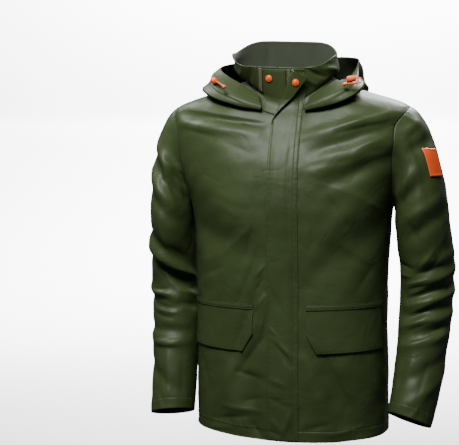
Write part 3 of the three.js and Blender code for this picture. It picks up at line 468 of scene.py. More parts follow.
def coated_cloth(name, green, gloss):
    """Coated knit: slow shifts of the green, an uneven gloss, a pebbled coat, crumpling and soft ridges."""
    material, tree, shader = new_material(name, green, gloss)
    cloud = add_node(tree, "ShaderNodeTexNoise", Scale=9.0, Detail=4.0, Roughness=0.6)
    tint = add_node(tree, "ShaderNodeValToRGB")
    tint.color_ramp.elements[0].position = 0.3
    tint.color_ramp.elements[0].color = [0.86 * v for v in green[:3]] + [1]
    tint.color_ramp.elements[1].position = 0.72
    tint.color_ramp.elements[1].color = [1.14 * v for v in green[:3]] + [1]
    patch = add_node(tree, "ShaderNodeTexNoise", Scale=22.0, Detail=5.0, Roughness=0.65)
    pebble = add_node(tree, "ShaderNodeTexNoise", Scale=1500.0, Detail=2.0)
    crumple = add_node(tree, "ShaderNodeTexNoise", Scale=46.0, Detail=3.0, Roughness=0.5, Distortion=0.6)
    ridge = add_node(tree, "ShaderNodeTexNoise", Scale=13.0, Detail=2.0, Roughness=0.45, Distortion=0.9)
    on_object(tree, cloud, patch, pebble, crumple, ridge)
    tree.links.new(cloud.outputs["Fac"], tint.inputs["Fac"])
    tree.links.new(tint.outputs["Color"], shader.inputs["Base Color"])
    uneven_gloss(tree, shader, patch, gloss - 0.07, gloss + 0.08)
    shader.inputs["Specular IOR Level"].default_value = 0.24
    offset = add_node(tree, "ShaderNodeMath", operation="SUBTRACT")
    offset.inputs[1].default_value = 0.5
    crest = add_node(tree, "ShaderNodeMath", operation="ABSOLUTE")
    tree.links.new(ridge.outputs["Fac"], offset.inputs[0])
    tree.links.new(offset.outputs["Value"], crest.inputs[0])
    long = raised(tree, shader, crest.outputs["Value"], 0.009, 0.3)
    soft = raised(tree, shader, crumple.outputs["Fac"], 0.0016, 0.22, long)
    raised(tree, shader, pebble.outputs["Fac"], 0.00012, 0.35, soft)
    return material


def knit_backing(name, green):
    """The uncoated inner face: matt jersey whose ribs are fine level and upright waves, with painted shade
    darker in the upright ribs' troughs and painted light on their crests.
    """
    material, tree, shader = new_material(name, green, 0.85)
    ribs = add_node(tree, "ShaderNodeTexWave", bands_direction="X", Scale=260.0, Distortion=1.5, Detail=1.0)
    courses = add_node(
        tree, "ShaderNodeTexWave", bands_direction="Z", Scale=340.0, Distortion=1.0, Detail=1.0
    )
    both = add_node(tree, "ShaderNodeMath", operation="ADD")
    # Painted shade and light: the green runs from 0.8 times in the rib troughs to 1.15 times on the rib
    # crests, following the rib wave.
    painted_rib_shade = add_node(tree, "ShaderNodeValToRGB")
    painted_rib_shade.color_ramp.elements[0].color = [0.8 * v for v in green[:3]] + [1]
    painted_rib_shade.color_ramp.elements[1].color = [1.15 * v for v in green[:3]] + [1]
    on_object(tree, ribs, courses)
    tree.links.new(ribs.outputs["Fac"], both.inputs[0])
    tree.links.new(courses.outputs["Fac"], both.inputs[1])
    tree.links.new(ribs.outputs["Fac"], painted_rib_shade.inputs["Fac"])
    tree.links.new(painted_rib_shade.outputs["Color"], shader.inputs["Base Color"])
    raised(tree, shader, both.outputs["Value"], 0.0003, 0.5)
    return material


shell_cloth = coated_cloth("coated_shell", OLIVE, 0.49)
inner_cloth = knit_backing("knit_backing", BACKING_GREEN)


def sewn_piece(
    name, points, node, looped=False, flip=False, face=None,
    thick=CLOTH_THICK,
):
    """A piece of cloth from the grid of its outer face: quads, a wall behind them and the knit inside."""
    rows, columns = points.shape[:2]
    faces = grid_faces(rows, columns, looped)
    piece = mesh_piece(name, points, faces[:, ::-1] if flip else faces)
    piece.data.materials.append(face or shell_cloth)
    piece.data.materials.append(inner_cloth)
    wall = piece.modifiers.new("cloth", "SOLIDIFY")
    wall.thickness = thick * 0.001
    wall.offset = -1
    wall.use_even_offset = False
    wall.material_offset = 1
    wall.material_offset_rim = 0
    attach(piece, "root")
    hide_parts(node)
    return piece


def front_grid(side, rows, hole, share, near=14):
    """A front's turns: by distance near the middle, then by share of the way to the side or armhole."""
    sign = 1 if side == "left" else -1
    ring = along_table(TRUNK, rows)
    marks = [FRONT_SPLIT + sign * SEAM_GAP / 2, sign * 22, sign * FLAP_SEAM]
    across = np.interp(np.linspace(0, 2, near), [0, 1, 2], marks)
    near_turns = turn_at_x(ring[:, None], across[None, :])
    edge = sign * turn_at_y(ring, np.maximum(ARMHOLE[side] * hole, SEAM_GAP / 2), 1)
    inner = near_turns[:, -1:]
    return np.concatenate([near_turns, inner + (edge[:, None] - inner) * share[None, :]], 1)


def trunk_lines(levels_below, armhole_steps, above_steps):
    """Rows and armhole openings, hem up: by level to the underarm, round the armhole, on to the neck."""
    t = np.arange(1, armhole_steps + 1) / armhole_steps
    beside = UNDERARM + (SHOULDER - UNDERARM) * (1 - np.cos(np.pi * t)) / 2
    rows = [row_at(levels_below), [UNDERARM], beside, np.linspace(SHOULDER, NECK, above_steps + 1)[1:]]
    hole = [np.zeros(len(levels_below) + 1), np.sin(np.pi * t), np.zeros(above_steps)]
    return np.concatenate(rows), np.concatenate(hole)


hem_levels = with_marks(np.linspace(HEM_LEVEL, UNDERARM_LEVEL, 150), [HEM_LEVEL + HEM_TURN])
hem_levels = np.unique(np.concatenate([hem_levels, [HEM_LEVEL + 0.5, HEM_LEVEL + 1.2]]))
trunk_rows, trunk_hole = trunk_lines(hem_levels, 70, 40)
PANEL_WIDE = 175
side_shares = 1 - with_marks(np.linspace(0, 1, 78) * PANEL_WIDE, (0, *SEAM_ROWS))[::-1] / PANEL_WIDE


def front_relief(points, rows):
    """Creases, slack, the turned hem, and the stitched side and armhole seams of a front, in millimetres."""
    x, z = points[..., 0], points[..., 2]
    to_edge = lengths_along(points, 1)
    to_edge = to_edge[:, -1:] - to_edge
    up = lengths_along(points, 0)
    high = np.clip(rows - UNDERARM, 0, 1)[:, None]
    low = 1 - high
    seam = drawn_in(to_edge) * (high + 0.5 * low) + puckers(up[:, -1:], to_edge) * (0.9 * high + 0.35 * low)
    hem = turned_edge(up, HEM_TURN) + puckers(to_edge, up - HEM_TURN, 13, 0.3)
    fade = ease(to_edge / 25)
    creases = fold_height(FRONT_CREASES, x, z, crisp=True) + slack(points)
    return creases * fade + seam + hem * ease(to_edge / 6 + 0.2)


front_skin = {}
for side in ("left", "right"):
    turns = front_grid(side, trunk_rows, trunk_hole, side_shares[1:])
    rows = np.broadcast_to(trunk_rows[:, None], turns.shape)
    points = trunk(turns, rows)
    points = points + grid_normal(points) * front_relief(points, trunk_rows)[..., None]
    front_skin[side] = points
    sewn_piece(
        f"front_panel_{side}", points, f"front_{side}", flip=side == "right"
    )

# The back
# One width of the same cloth from side seam to side seam and up over the shoulders, longer at the
# hem than the fronts, with the long loose folds that hang from the shoulder blades.
BACK_CREASES = np.array([
    (60, -210, 66, -420, 5, 2.0), (104, -180, 100, -420, 6, -2.0), (126, -240, 124, -520, 5, 1.9),
    (-42, -200, -44, -380, 7, -1.7), (-80, -330, -84, -560, 7, 1.7), (-134, -330, -132, -560, 6, 1.9),
    (150, -150, 186, -230, 5, 2.0), (-140, -150, -184, -232, 5, 2.0), (70, -640, 110, -735, 7, 2.0),
    (-60, -660, -90, -738, 7, -2.0), (0, -690, 30, -742, 6, 1.7), (160, -620, 150, -720, 8, -1.7),
    (-20, -60, -80, -74, 6, 1.5), (30, -70, 120, -96, 6, -1.5), (0, -110, -110, -128, 9, 1.7),
])
HALF_BACK = 300
half_back = with_marks(np.linspace(0, 1, 84) * HALF_BACK, (0, *SEAM_ROWS)) / HALF_BACK
back_opening = np.maximum(ARMHOLE["back"] * trunk_hole, SEAM_GAP / 2)
back_edge = turn_at_y(along_table(TRUNK, trunk_rows), back_opening, -1)
half_turns = back_edge[:, None] + (np.pi - back_edge)[:, None] * half_back[None, :]
turns = np.concatenate([half_turns, 2 * np.pi - half_turns[:, -2::-1]], 1)
rows = np.broadcast_to(trunk_rows[:, None], turns.shape)
back_skin = trunk(turns, rows)
run = lengths_along(back_skin, 1)
to_edge = np.minimum(run, run[:, -1:] - run)
up = lengths_along(back_skin, 0)
high = np.clip(trunk_rows - UNDERARM, 0, 1)[:, None]
back_relief = fold_height(BACK_CREASES, back_skin[..., 0], back_skin[..., 2], crisp=True) + slack(back_skin)
back_relief = back_relief * ease(to_edge / 25)
back_relief = back_relief + drawn_in(to_edge) * (0.5 + 0.5 * high)
back_relief = back_relief + puckers(up[:, :1], to_edge) * (0.35 + 0.55 * high)
back_relief = back_relief + turned_edge(up, HEM_TURN) + puckers(run, up - HEM_TURN, 13, 0.3)
back_skin = back_skin + grid_normal(back_skin) * back_relief[..., None]
sewn_piece("back_panel", back_skin, "back")

# The sleeves
# Set-in sleeves in two layers of seam at the armhole, creased across the bend of the elbow,
# each ending in a turned cuff. The armhole seam is stitched down on the body side.
# Rings down the arm: the middle's x, y and z, the half width, the half depth and the cuff's slant.
SLEEVES = {
    "left": np.array([
        (268, 8, -292, 56, 72, 0), (275, 26, -372, 56, 66, 0), (276, 32, -430, 56, 62, 0),
        (273, 21, -500, 54, 58, 0), (266, 0, -578, 51, 54, 0.02), (257, -26, -650, 47, 50, 0.06),
        (249, -41, -694, 44, 47, 0.12),
    ]),
    "right": np.array([
        (-259, 4, -292, 46, 78, 0), (-261, 22, -372, 49, 70, 0), (-262, 26, -430, 50, 62, 0),
        (-255, 12, -500, 50, 58, 0), (-253, -8, -580, 48, 54, 0.02), (-251, -30, -655, 46, 50, 0.04),
        (-250, -42, -695, 45, 48, 0.1),
    ]),
}
# Here each end of a fold is an angle round the sleeve, in degrees from the trunk side, and a height.
SLEEVE_FOLDS = {
    "left": np.array([
        (100, -120, 152, -93, 9, 5), (98, -150, 160, -122, 11, -6), (112, -178, 45, -232, 12, 5),
        (110, -210, 40, -262, 11, -5), (150, -238, 50, -292, 12, 4.5), (170, -262, 60, -325, 12, -4.5),
        (195, -350, 70, -378, 13, 4), (190, -381, 55, -425, 11, 6), (188, -409, 55, -448, 9, -6.5),
        (185, -432, 50, -462, 9, 5.5), (182, -455, 40, -484, 9, -5.5), (176, -478, 35, -505, 9, 4.5),
        (170, -500, 35, -526, 9, -4.5), (165, -520, 35, -548, 10, 4), (185, -560, 60, -610, 14, -4),
        (185, -600, 70, -660, 14, 4), (215, -180, 320, -262, 12, -6), (208, -215, 315, -300, 13, 5),
        (210, -390, 325, -440, 12, -5), (210, -425, 330, -468, 12, 5), (215, -470, 325, -520, 13, -4),
    ]),
    "right": np.array([
        (160, -120, 45, -215, 11, 5), (165, -150, 40, -245, 11, -5.5), (168, -178, 48, -275, 12, 5),
        (170, -215, 50, -300, 12, -4.5), (178, -298, 40, -385, 12, -5), (178, -325, 18, -414, 12, 7),
        (178, -352, 20, -440, 11, -6.5), (172, -436, 70, -454, 9, 5), (172, -456, 70, -474, 9, -5),
        (60, -440, 15, -452, 8, 4.5), (60, -466, 15, -476, 7, -4.5), (168, -516, 40, -524, 10, -4.5),
        (168, -538, 40, -548, 10, 4.5), (170, -590, 60, -640, 14, -3.5), (215, -180, 320, -262, 12, -6),
        (208, -215, 315, -300, 13, 5), (205, -385, 320, -430, 12, 5), (205, -412, 325, -458, 12, -5),
        (210, -455, 325, -505, 13, 4),
    ]),
}
SLEEVE_CREASES = {
    "left": np.array([
        (150, -84, 118, -108, 6, 3.5), (148, -98, 112, -124, 5, -3.2), (88, -188, 60, -242, 6, 3.5),
        (72, -184, 48, -228, 5, -2.9), (108, -198, 96, -254, 8, 2.1), (118, -343, 84, -384, 5, 3.6),
        (132, -350, 100, -392, 5, -2.8), (134, -378, 78, -396, 4, -3.6), (18, -376, 66, -386, 5, -3.9),
        (20, -398, 62, -402, 5, 3.1), (96, -407, 56, -419, 3.5, 2.8), (92, -418, 52, -431, 3, -2.4),
        (88, -427, 52, -442, 3.5, 2.4), (150, -424, 104, -440, 5, 2.1), (106, -456, 60, -476, 4, 3.2),
        (108, -466, 58, -488, 3.5, -3.1), (102, -482, 58, -503, 4, 2.9), (104, -494, 60, -514, 3.5, -2.4),
        (154, -497, 98, -523, 4, -3.5), (100, -522, 50, -534, 3.5, -3.5), (124, -518, 58, -541, 4, 3.1),
        (150, -512, 124, -530, 5, 2.5), (84, -552, 72, -604, 8, 2.5), (120, -570, 104, -640, 8, -2.0),
        (62, -560, 50, -640, 8, -2.0), (118, -650, 96, -688, 6, 2.1), (160, -300, 130, -336, 8, 2.0),
        (70, -290, 96, -342, 9, -2.1),
    ]),
    "right": np.array([
        (104, -163, 60, -260, 7, 3.6), (86, -175, 44, -191, 4, 2.5), (72, -194, 28, -233, 4, -3.9),
        (122, -150, 96, -220, 6, -2.4), (60, -206, 40, -250, 5, 2.8), (106, -298, 84, -352, 8, 3.1),
        (76, -346, 40, -372, 6, -3.1), (142, -350, 84, -386, 4, 3.5), (90, -384, 24, -411, 4, 3.9),
        (140, -366, 92, -398, 3.5, -3.2), (96, -396, 36, -420, 4, -3.6), (132, -378, 88, -416, 3.5, 2.8),
        (116, -392, 80, -432, 4, -2.5), (100, -412, 64, -440, 5, 2.4), (146, -439, 92, -437, 3, -3.2),
        (140, -447, 88, -446, 3, 2.5), (134, -455, 90, -459, 3, -2.1), (132, -463, 84, -470, 3.5, 2.9),
        (126, -472, 78, -480, 3.5, -2.5), (128, -480, 72, -487, 3.5, 2.5), (132, -490, 82, -497, 3.5, -2.5),
        (152, -541, 66, -535, 4, -3.6), (130, -549, 70, -552, 4, 3.1), (134, -560, 70, -557, 4, -2.1),
        (92, -566, 86, -652, 9, 2.9), (132, -580, 120, -660, 9, -2.1), (54, -580, 48, -660, 9, -2.1),
        (118, -652, 100, -690, 6, 2.0), (146, -510, 110, -520, 5, 2.1),
    ]),
}
CUFF_TURN = 22
ARM_LONG = 414


def armhole_place(side, t):
    """Turn and row of the armhole line: t is 0 to 1 from the underarm up the front, 1 to 2 down the back."""
    row = UNDERARM + (SHOULDER - UNDERARM) * (1 - np.cos(np.pi * t)) / 2
    ring = along_table(TRUNK, row)
    hole = np.sin(np.pi * t)
    front = turn_at_y(ring, ARMHOLE[side] * np.maximum(hole, 0), 1)
    back = turn_at_y(ring, ARMHOLE["back"] * np.maximum(-hole, 0), -1)
    return (1 if side == "left" else -1) * np.where(hole >= 0, front, back), row


def sleeve_ring(side, around, along):
    """An ellipse square to the arm's line: its height tilts by the line's lean and by the cuff's slant."""
    sign = 1 if side == "left" else -1
    x, y, z, across, deep, slant = np.moveaxis(along_table(SLEEVES[side], along - 1), -1, 0)
    ahead = along_table(SLEEVES[side], along - 0.95)
    lean_x, lean_y = (ahead[..., 0] - x) / (ahead[..., 2] - z), (ahead[..., 1] - y) / (ahead[..., 2] - z)
    dx = -sign * np.cos(2 * np.pi * around) * across
    dy = -np.sin(2 * np.pi * around) * deep
    return np.stack([x + dx, y + dy, z - lean_x * dx - lean_y * dy - slant * sign * dx], -1)


def plain_sleeve(side, around, along):
    """Below 1 a Hermite curve from the armhole line to the first ring, above 1 the arm's own rings."""
    sign = 1 if side == "left" else -1
    t = 2 * around
    turn, row = armhole_place(side, t)
    point, normal = trunk(turn, row), trunk_normal(turn, row)
    after, before = trunk(*armhole_place(side, t + 2e-3)), trunk(*armhole_place(side, t - 2e-3))
    into = unit(np.cross(after - before, normal))
    middle = trunk(np.full(1, sign * np.pi / 2), np.full(1, (UNDERARM + SHOULDER) / 2))[0]
    into = into * np.where(((middle - point) * into).sum(-1) < 0, -1, 1)[..., None]
    start = point + SEAM_GAP * into
    first = sleeve_ring(side, around, np.ones_like(around))
    leave = unit(into + np.array([1.2 * sign, 0, 0]))
    arrive = unit(sleeve_ring(side, around, np.full_like(around, 1.02)) - first)
    span = np.linalg.norm(start - first, axis=-1)[..., None]
    s = np.minimum(along, 1)[..., None]
    cap = start * (2 * s**3 - 3 * s**2 + 1) + leave * (s**3 - 2 * s**2 + s) * span * 0.62
    cap = cap + first * (3 * s**2 - 2 * s**3) + arrive * (s**3 - s**2) * span * 0.9
    return np.where((along >= 1)[..., None], sleeve_ring(side, around, np.maximum(along, 1)), cap)


def sleeve(side, around, along):
    """The plain sleeve pushed out by its folds, which start a little way from the armhole."""
    point = plain_sleeve(side, around, along)
    degrees = 360 * (around % 1)
    height = fold_height(SLEEVE_FOLDS[side], degrees, point[..., 2], 0.95) * ease((along - 0.06) / 0.3)
    return point + sleeve_normal(side, plain_sleeve, around, along) * height[..., None]


def sleeve_normal(side, surface, around, along):
    """The outward normal of a sleeve's surface."""
    return normal_of(lambda a, s: surface(side, a, s), around, along, 4e-3) * (-1 if side == "left" else 1)


sleeve_skin = {}
for side in ("left", "right"):
    cap_lines = np.concatenate([[0, 0.006, 0.014, 0.022, 0.036, 0.05], np.linspace(0.07, 1, 46)])
    arm_lines = with_marks(np.linspace(0, ARM_LONG, 150), [ARM_LONG - CUFF_TURN]) / ARM_LONG * 6 + 1
    sleeve_lines = np.concatenate([cap_lines, arm_lines[1:]])
    along, around = np.meshgrid(sleeve_lines, np.arange(104) / 104, indexing="ij")
    points = sleeve(side, around, along)
    degrees = 360 * around
    down = lengths_along(points, 0)
    to_cuff = down[-1:] - down
    ring = lengths_along(np.concatenate([points, points[:, :1]], 1), 1)[:, :-1]
    relief = fold_height(SLEEVE_CREASES[side], degrees, points[..., 2], 0.95, crisp=True)
    relief = relief + slack(points, 0.3) * ease(down / 20) + drawn_in(down, ()) + puckers(ring[:1], down)
    relief = relief + turned_edge(to_cuff, CUFF_TURN) + puckers(ring, to_cuff - CUFF_TURN, 11, 0.3)
    points = points + grid_normal(points, True) * (relief * (-1 if side == "left" else 1))[..., None]
    sleeve_skin[side] = points
    sewn_piece(
        f"sleeve_shell_{side}", points, f"sleeve_{side}", looped=True,
        flip=side == "left",
    )

# The collar
# A stand collar of two layers of the shell cloth, sewn into the neck seam and stitched along its
# top edge. It stays open at the throat and buckles a little where the storm flap pulls on it.
COLLAR = np.array([109, 93, 88, 20, 51, 83, 2.2, -3])
COLLAR_SHIFT = -18
COLLAR_STEEP = 7
COLLAR_BELLY = {"left": 8, "right": 22}
COLLAR_RUN = 70
MM_A_DEGREE = 1.5
COLLAR_ROW = 4
COLLAR_FOLDS = np.array([
    (24, 0.95, 44, 0.25, 5, 3.9), (36, 1.0, 58, 0.35, 5, -3.6), (52, 0.9, 82, 0.3, 7, 2.7),
    (-34, 0.9, -52, 0.15, 5, -3.3), (-46, 0.95, -66, 0.2, 6, 2.7), (-70, 0.8, -96, 0.3, 7, -2.4),
    (150, 0.9, 158, 0.2, 7, 2.0), (188, 0.85, 182, 0.2, 8, -2.1), (214, 0.9, 222, 0.3, 7, 2.0),
])


def collar(turn, up):
    """A line from the neck seam to the top edge, swollen sideways by belly sin^4(turn) 6.75 up (1 - up)^2."""
    foot = section(TRUNK[NECK], turn) + np.array([0, 0, 0.5])
    top = section(COLLAR, turn, COLLAR_SHIFT, COLLAR_STEEP)
    point = foot + (top - foot) * up[..., None]
    s = np.sin(turn)
    belly = np.where(s > 0, COLLAR_BELLY["left"], COLLAR_BELLY["right"]) * s**4 * 6.75 * up * (1 - up) ** 2
    point[..., 0] += np.sign(s) * belly
    return point


collar_ends = turn_at_x(TRUNK[NECK], np.array([FRONT_SPLIT + 0.5, FRONT_SPLIT - 0.5]))
collar_ends = collar_ends + np.array([0, 2 * np.pi])
collar_ups = with_marks(np.linspace(0, COLLAR_RUN, 26), [2, COLLAR_RUN - COLLAR_ROW]) / COLLAR_RUN
turns, ups = np.meshgrid(np.linspace(collar_ends[0], collar_ends[1], 260), collar_ups)
collar_skin = collar(turns, ups)
degrees = np.degrees(turns)
near = np.where(degrees > 180, degrees - 360, degrees)
height = np.zeros_like(near)
for a0, u0, a1, u1, half, high in COLLAR_FOLDS:
    wrapped = np.where(np.abs(near - a0) > np.abs(degrees - a0), degrees, near)
    ends = (a0 * MM_A_DEGREE, u0 * COLLAR_RUN, a1 * MM_A_DEGREE, u1 * COLLAR_RUN)
    height = height + fold_height([(*ends, half, high)], wrapped * MM_A_DEGREE, ups * COLLAR_RUN)
run = ups * COLLAR_RUN
to_row = COLLAR_RUN - run - COLLAR_ROW
height = height * ease(run / 16) + drawn_in(run, (2,), 0.4) * ease(run / 0.6)
height = height - 0.45 * np.exp(-((to_row / 0.8) ** 2)) + 0.6 * puckers(degrees * MM_A_DEGREE, to_row)
collar_skin = collar_skin + normal_of(collar, turns, ups, 2e-3) * height[..., None]
sewn_piece("collar_stand", collar_skin, "collar", thick=1.5)

# The hood
# Three panels of the shell cloth, sewn to the neck seam and left hanging open: it lies down the
# coat from the collar, turns back on itself in a soft fold and stands up to its rim.
# Stations round the neck: the turn at the neck and at the fold, the fold's row and fullness, and how
# far out and how high the rim stands.
HOOD = np.array([
    (33, 25, 8.45, 4, 10, -38), (44, 41, 8.1, 8, 17, -25), (60, 60, 8.0, 11, 27, -9),
    (77, 78, 8.3, 10, 41, 4), (94, 95, 8.55, 9, 50, 35), (116, 116, 8.0, 12, 46, 46),
    (146, 146, 6.5, 14, 42, 50), (180, 180, 5.75, 15, 37, 48), (214, 214, 6.1, 15, 46, 45),
    (244, 244, 7.2, 14, 60, 38), (266, 265, 7.86, 11, 72, 26), (284, 283, 7.9, 10, 50, 7),
    (301, 300, 7.84, 9.5, 31, -9), (313, 317, 8.05, 7, 17, -25), (325, 333, 8.45, 4, 10, -38),
])
# Here each end of a crease is a station and a share of the way round, both times 100, and the units
# bring them to millimetres.
HOOD_UNITS = np.array([0.3, 1.6, 0.3, 1.6, 1, 1])
HOOD_SEAMS = (5.15, 8.85)
MM_A_STATION = 26
RIM_ROW = 16
HOOD_FOOT = 9.5
HOOD_CREASES = np.array([
    (120, 48, 330, 62, 5, 2.7), (160, 60, 350, 78, 5, -2.5), (60, 40, 200, 52, 5, 2.0),
    (240, 80, 360, 92, 5, 2.2), (480, 56, 920, 60, 5, -2.7), (500, 66, 900, 70, 5, 2.5),
    (540, 76, 860, 78, 5, -2.2), (560, 88, 860, 90, 5, 1.9), (1010, 60, 1240, 52, 5, 2.5),
    (1020, 74, 1280, 62, 5, -2.5), (1040, 88, 1200, 78, 5, 2.0), (1280, 50, 1370, 42, 5, 1.7),
])


def chord_curve(points, at):
    """The centripetal Catmull-Rom curve through points (axis -2), each stretch timed by its chord's root."""
    count = points.shape[-2]
    start = 2 * points[..., :1, :] - points[..., 1:2, :]
    end = 2 * points[..., -1:, :] - points[..., -2:-1, :]
    padded = np.concatenate([start, points, end], -2)
    i = np.clip(np.floor(at * (count - 1)).astype(int), 0, count - 2)
    t = (at * (count - 1) - i)[..., None]
    a, b, c, d = (np.take_along_axis(padded, (i + k)[..., None, None], -2)[..., 0, :] for k in range(4))
    ab, bc, cd = (
        np.sqrt(np.linalg.norm(q - p, axis=-1))[..., None] + 1e-9 for p, q in ((a, b), (b, c), (c, d))
    )
    slope_b = ((b - a) / ab - (c - a) / (ab + bc) + (c - b) / bc) * bc
    slope_c = ((c - b) / bc - (d - b) / (bc + cd) + (d - c) / cd) * bc
    cubic = (2 * b - 2 * c + slope_b + slope_c) * t**3 + (-3 * b + 3 * c - 2 * slope_b - slope_c) * t**2
    return cubic + slope_b * t + b


def hood(station, round_):
    """From the neck seam down to the fold, round its belly and up to the rim, at one station of the table."""
    turn, low, fold, full, out, z = np.moveaxis(along_table(HOOD, station), -1, 0)
    turn, low = np.radians(turn), np.radians(low)
    full = full[..., None]

    def place(row, lift, share):
        about = turn + (low - turn) * share
        return trunk(about, row) + trunk_normal(about, row) * lift

    down = unit(trunk(low, fold - 0.05) - trunk(low, fold + 0.05))
    outward = np.stack([np.sin(turn), -np.cos(turn), np.zeros_like(turn)], -1)
    neck = section(TRUNK[NECK], turn)
    rim = neck + outward * out[..., None]
    rim[..., 2] = z
    lower = place(fold, 4 + 2 * full, 1) - down * 0.2 * full
    belly = (lower + rim) / 2 + outward * 0.5 * full + trunk_normal(low, fold) * 0.2 * full
    stops = [
        place(np.full_like(fold, HOOD_FOOT), 3.8, 0),
        place((HOOD_FOOT + fold) / 2, 5, 0.5),
        place(HOOD_FOOT + (fold - HOOD_FOOT) * 0.93, 5, 1),
        place(fold, 4 + full, 1) + down * full,
        lower,
        belly,
        rim,
    ]
    return chord_curve(np.stack(stops, -2), np.clip(round_, 0, 1))


stations, rounds = np.meshgrid(np.linspace(0, 14, 250), np.linspace(0, 1, 84))
hood_skin = hood(stations, rounds)
hood_out = grid_normal(hood_skin)
run = lengths_along(hood_skin, 0)
to_rim = run[-1:] - run
across = lengths_along(hood_skin, 1)
hood_relief = fold_height(HOOD_CREASES * HOOD_UNITS, stations * 30, rounds * 160, crisp=True)
hood_relief = hood_relief * ease((rounds - 0.35) / 0.2) * ease(stations - 0.2) * ease(13.8 - stations)
for seam in HOOD_SEAMS:
    off = np.abs(stations - seam) * MM_A_STATION
    dip = drawn_in(off, (3,), 0.35) + 0.7 * puckers(run, off, 8)
    hood_relief = hood_relief + dip * ease((rounds - 0.4) / 0.1)
to_row = to_rim - RIM_ROW
hood_relief = hood_relief - 0.5 * np.exp(-(to_row**2)) + 0.8 * puckers(across, to_row, 12)
hood_relief = hood_relief * ease((rounds - 0.3) / 0.15)
hood_skin = hood_skin + hood_out * hood_relief[..., None]
sewn_piece("hood_shell", hood_skin, "hood")

# The under placket and the zip
# A folded facing of the shell cloth beside the right front's edge, stitched round, and the tapes of
# a moulded zip that show on both sides of the throat where the fronts are left open.
PLACKET = {"from": -44, "to": 2.6, "top": 15, "bottom": -78, "rise": 0.9, "thick": 1.6}
ZIP_TAPES = {"right": (-53, -46, 17, -40), "left": (5, 12, 16, -40)}
TAPE_OLIVE = (0.075, 0.085, 0.055, 1)
CHAIN_BROWN = (0.16, 0.075, 0.03, 1)


def level_point(x, level):
    """The coat on the front at a distance across and a height on the centre line, collar included."""
    up = np.maximum((level - TRUNK[NECK][3]) / (COLLAR[3] - TRUNK[NECK][3]), 0)
    row = row_at(np.minimum(level, TRUNK[NECK][3]))
    low = trunk(turn_at_x(along_table(TRUNK, row), x), row)
    ring = TRUNK[NECK] + (COLLAR - TRUNK[NECK]) * up[..., None]
    high = collar(turn_at_x(ring, x - COLLAR_SHIFT * up), up)
    return np.where((level > TRUNK[NECK][3])[..., None], high, low)


def front_strip(x, level):
    """The mean of five points up the centre line, 11 mm apart at the neck seam, which rounds that corner."""
    soft = 11 * np.exp(-(((level - TRUNK[NECK][3]) / 40) ** 2))
    return sum(level_point(x, level + shift * soft) for shift in (-1, -0.5, 0, 0.5, 1)) / 5


def strip_normal(x, level):
    """The outward normal of the strip down the centre front."""
    return normal_of(front_strip, x, level, 0.5)


def strip_piece(name, box, rise, thick, node, face=None, edge=3.0):
    """A flat strip laid on the coat, raised by its own thickness and dipping at its stitched edge."""
    x0, x1, top, bottom = box
    across = with_marks(np.linspace(x0, x1, max(int((x1 - x0) / 1.6), 6)), [x0 + edge, x1 - edge])
    levels = with_marks(np.linspace(bottom, top, int((top - bottom) / 1.8)), [bottom + edge, top - edge])
    xs, zs = np.meshgrid(across, levels)
    inside = np.minimum(np.minimum(xs - x0, x1 - xs), np.minimum(zs - bottom, top - zs))
    lift = rise + thick - 0.35 * np.exp(-(((inside - edge) / 0.7) ** 2))
    lift = lift - 0.3 * np.exp(-((inside / 0.8) ** 2))
    points = front_strip(xs, zs) + strip_normal(xs, zs) * lift[..., None]
    return sewn_piece(name, points, node, face=face, thick=thick - 0.1)


def woven_tape(name, colour):
    """Zip tape: a matt ground with the fine slanting ribs of its weave."""
    material, tree, shader = new_material(name, colour, 0.8)
    rib = add_node(tree, "ShaderNodeTexWave", bands_direction="DIAGONAL", Scale=420.0, Distortion=0.4)
    on_object(tree, rib)
    raised(tree, shader, rib.outputs["Fac"], 0.0003, 0.7)
    return material


placket_box = (PLACKET["from"], PLACKET["to"], PLACKET["top"], PLACKET["bottom"])
strip_piece(
    "placket_facing", placket_box, PLACKET["rise"], PLACKET["thick"], "under_placket"
)
tape_material = woven_tape("zip_tape", TAPE_OLIVE)
zip_material = moulded_plastic("zip_chain", CHAIN_BROWN, 0.4)
for side, box in ZIP_TAPES.items():
    strip_piece(
        f"zip_tape_{side}", box, 0.6, 1.2, f"zip_{side}", tape_material, 9
    )
    levels = np.arange(box[3] + 2, box[2] - 1, 2.2)
    inner = box[1] - 1.4 if side == "right" else box[0] + 1.4
    middle = front_strip(np.full_like(levels, inner), levels)
    out = strip_normal(np.full_like(levels, inner), levels)
    up = unit(np.gradient(middle, axis=0))
    side_way = np.cross(up, out)
    square = ((-1.3, -0.65), (1.3, -0.65), (1.3, 0.65), (-1.3, 0.65))
    corner = np.array([(a, b, c) for c in (1.5, 2.6) for a, b in square])
    teeth = middle[:, None] + corner[None, :, :1] * side_way[:, None] + corner[None, :, 1:2] * up[:, None]
    teeth = teeth + corner[None, :, 2:] * out[:, None]
    box_faces = np.array([
        (0, 3, 2, 1), (4, 5, 6, 7), (0, 1, 5, 4), (1, 2, 6, 5), (2, 3, 7, 6), (3, 0, 4, 7),
    ])
    faces = (np.arange(len(levels))[:, None, None] * 8 + box_faces[None]).reshape(-1, 4)
    chain = mesh_piece(f"zip_teeth_{side}", teeth, faces)
    chain.data.materials.append(zip_material)
    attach(chain, "root")

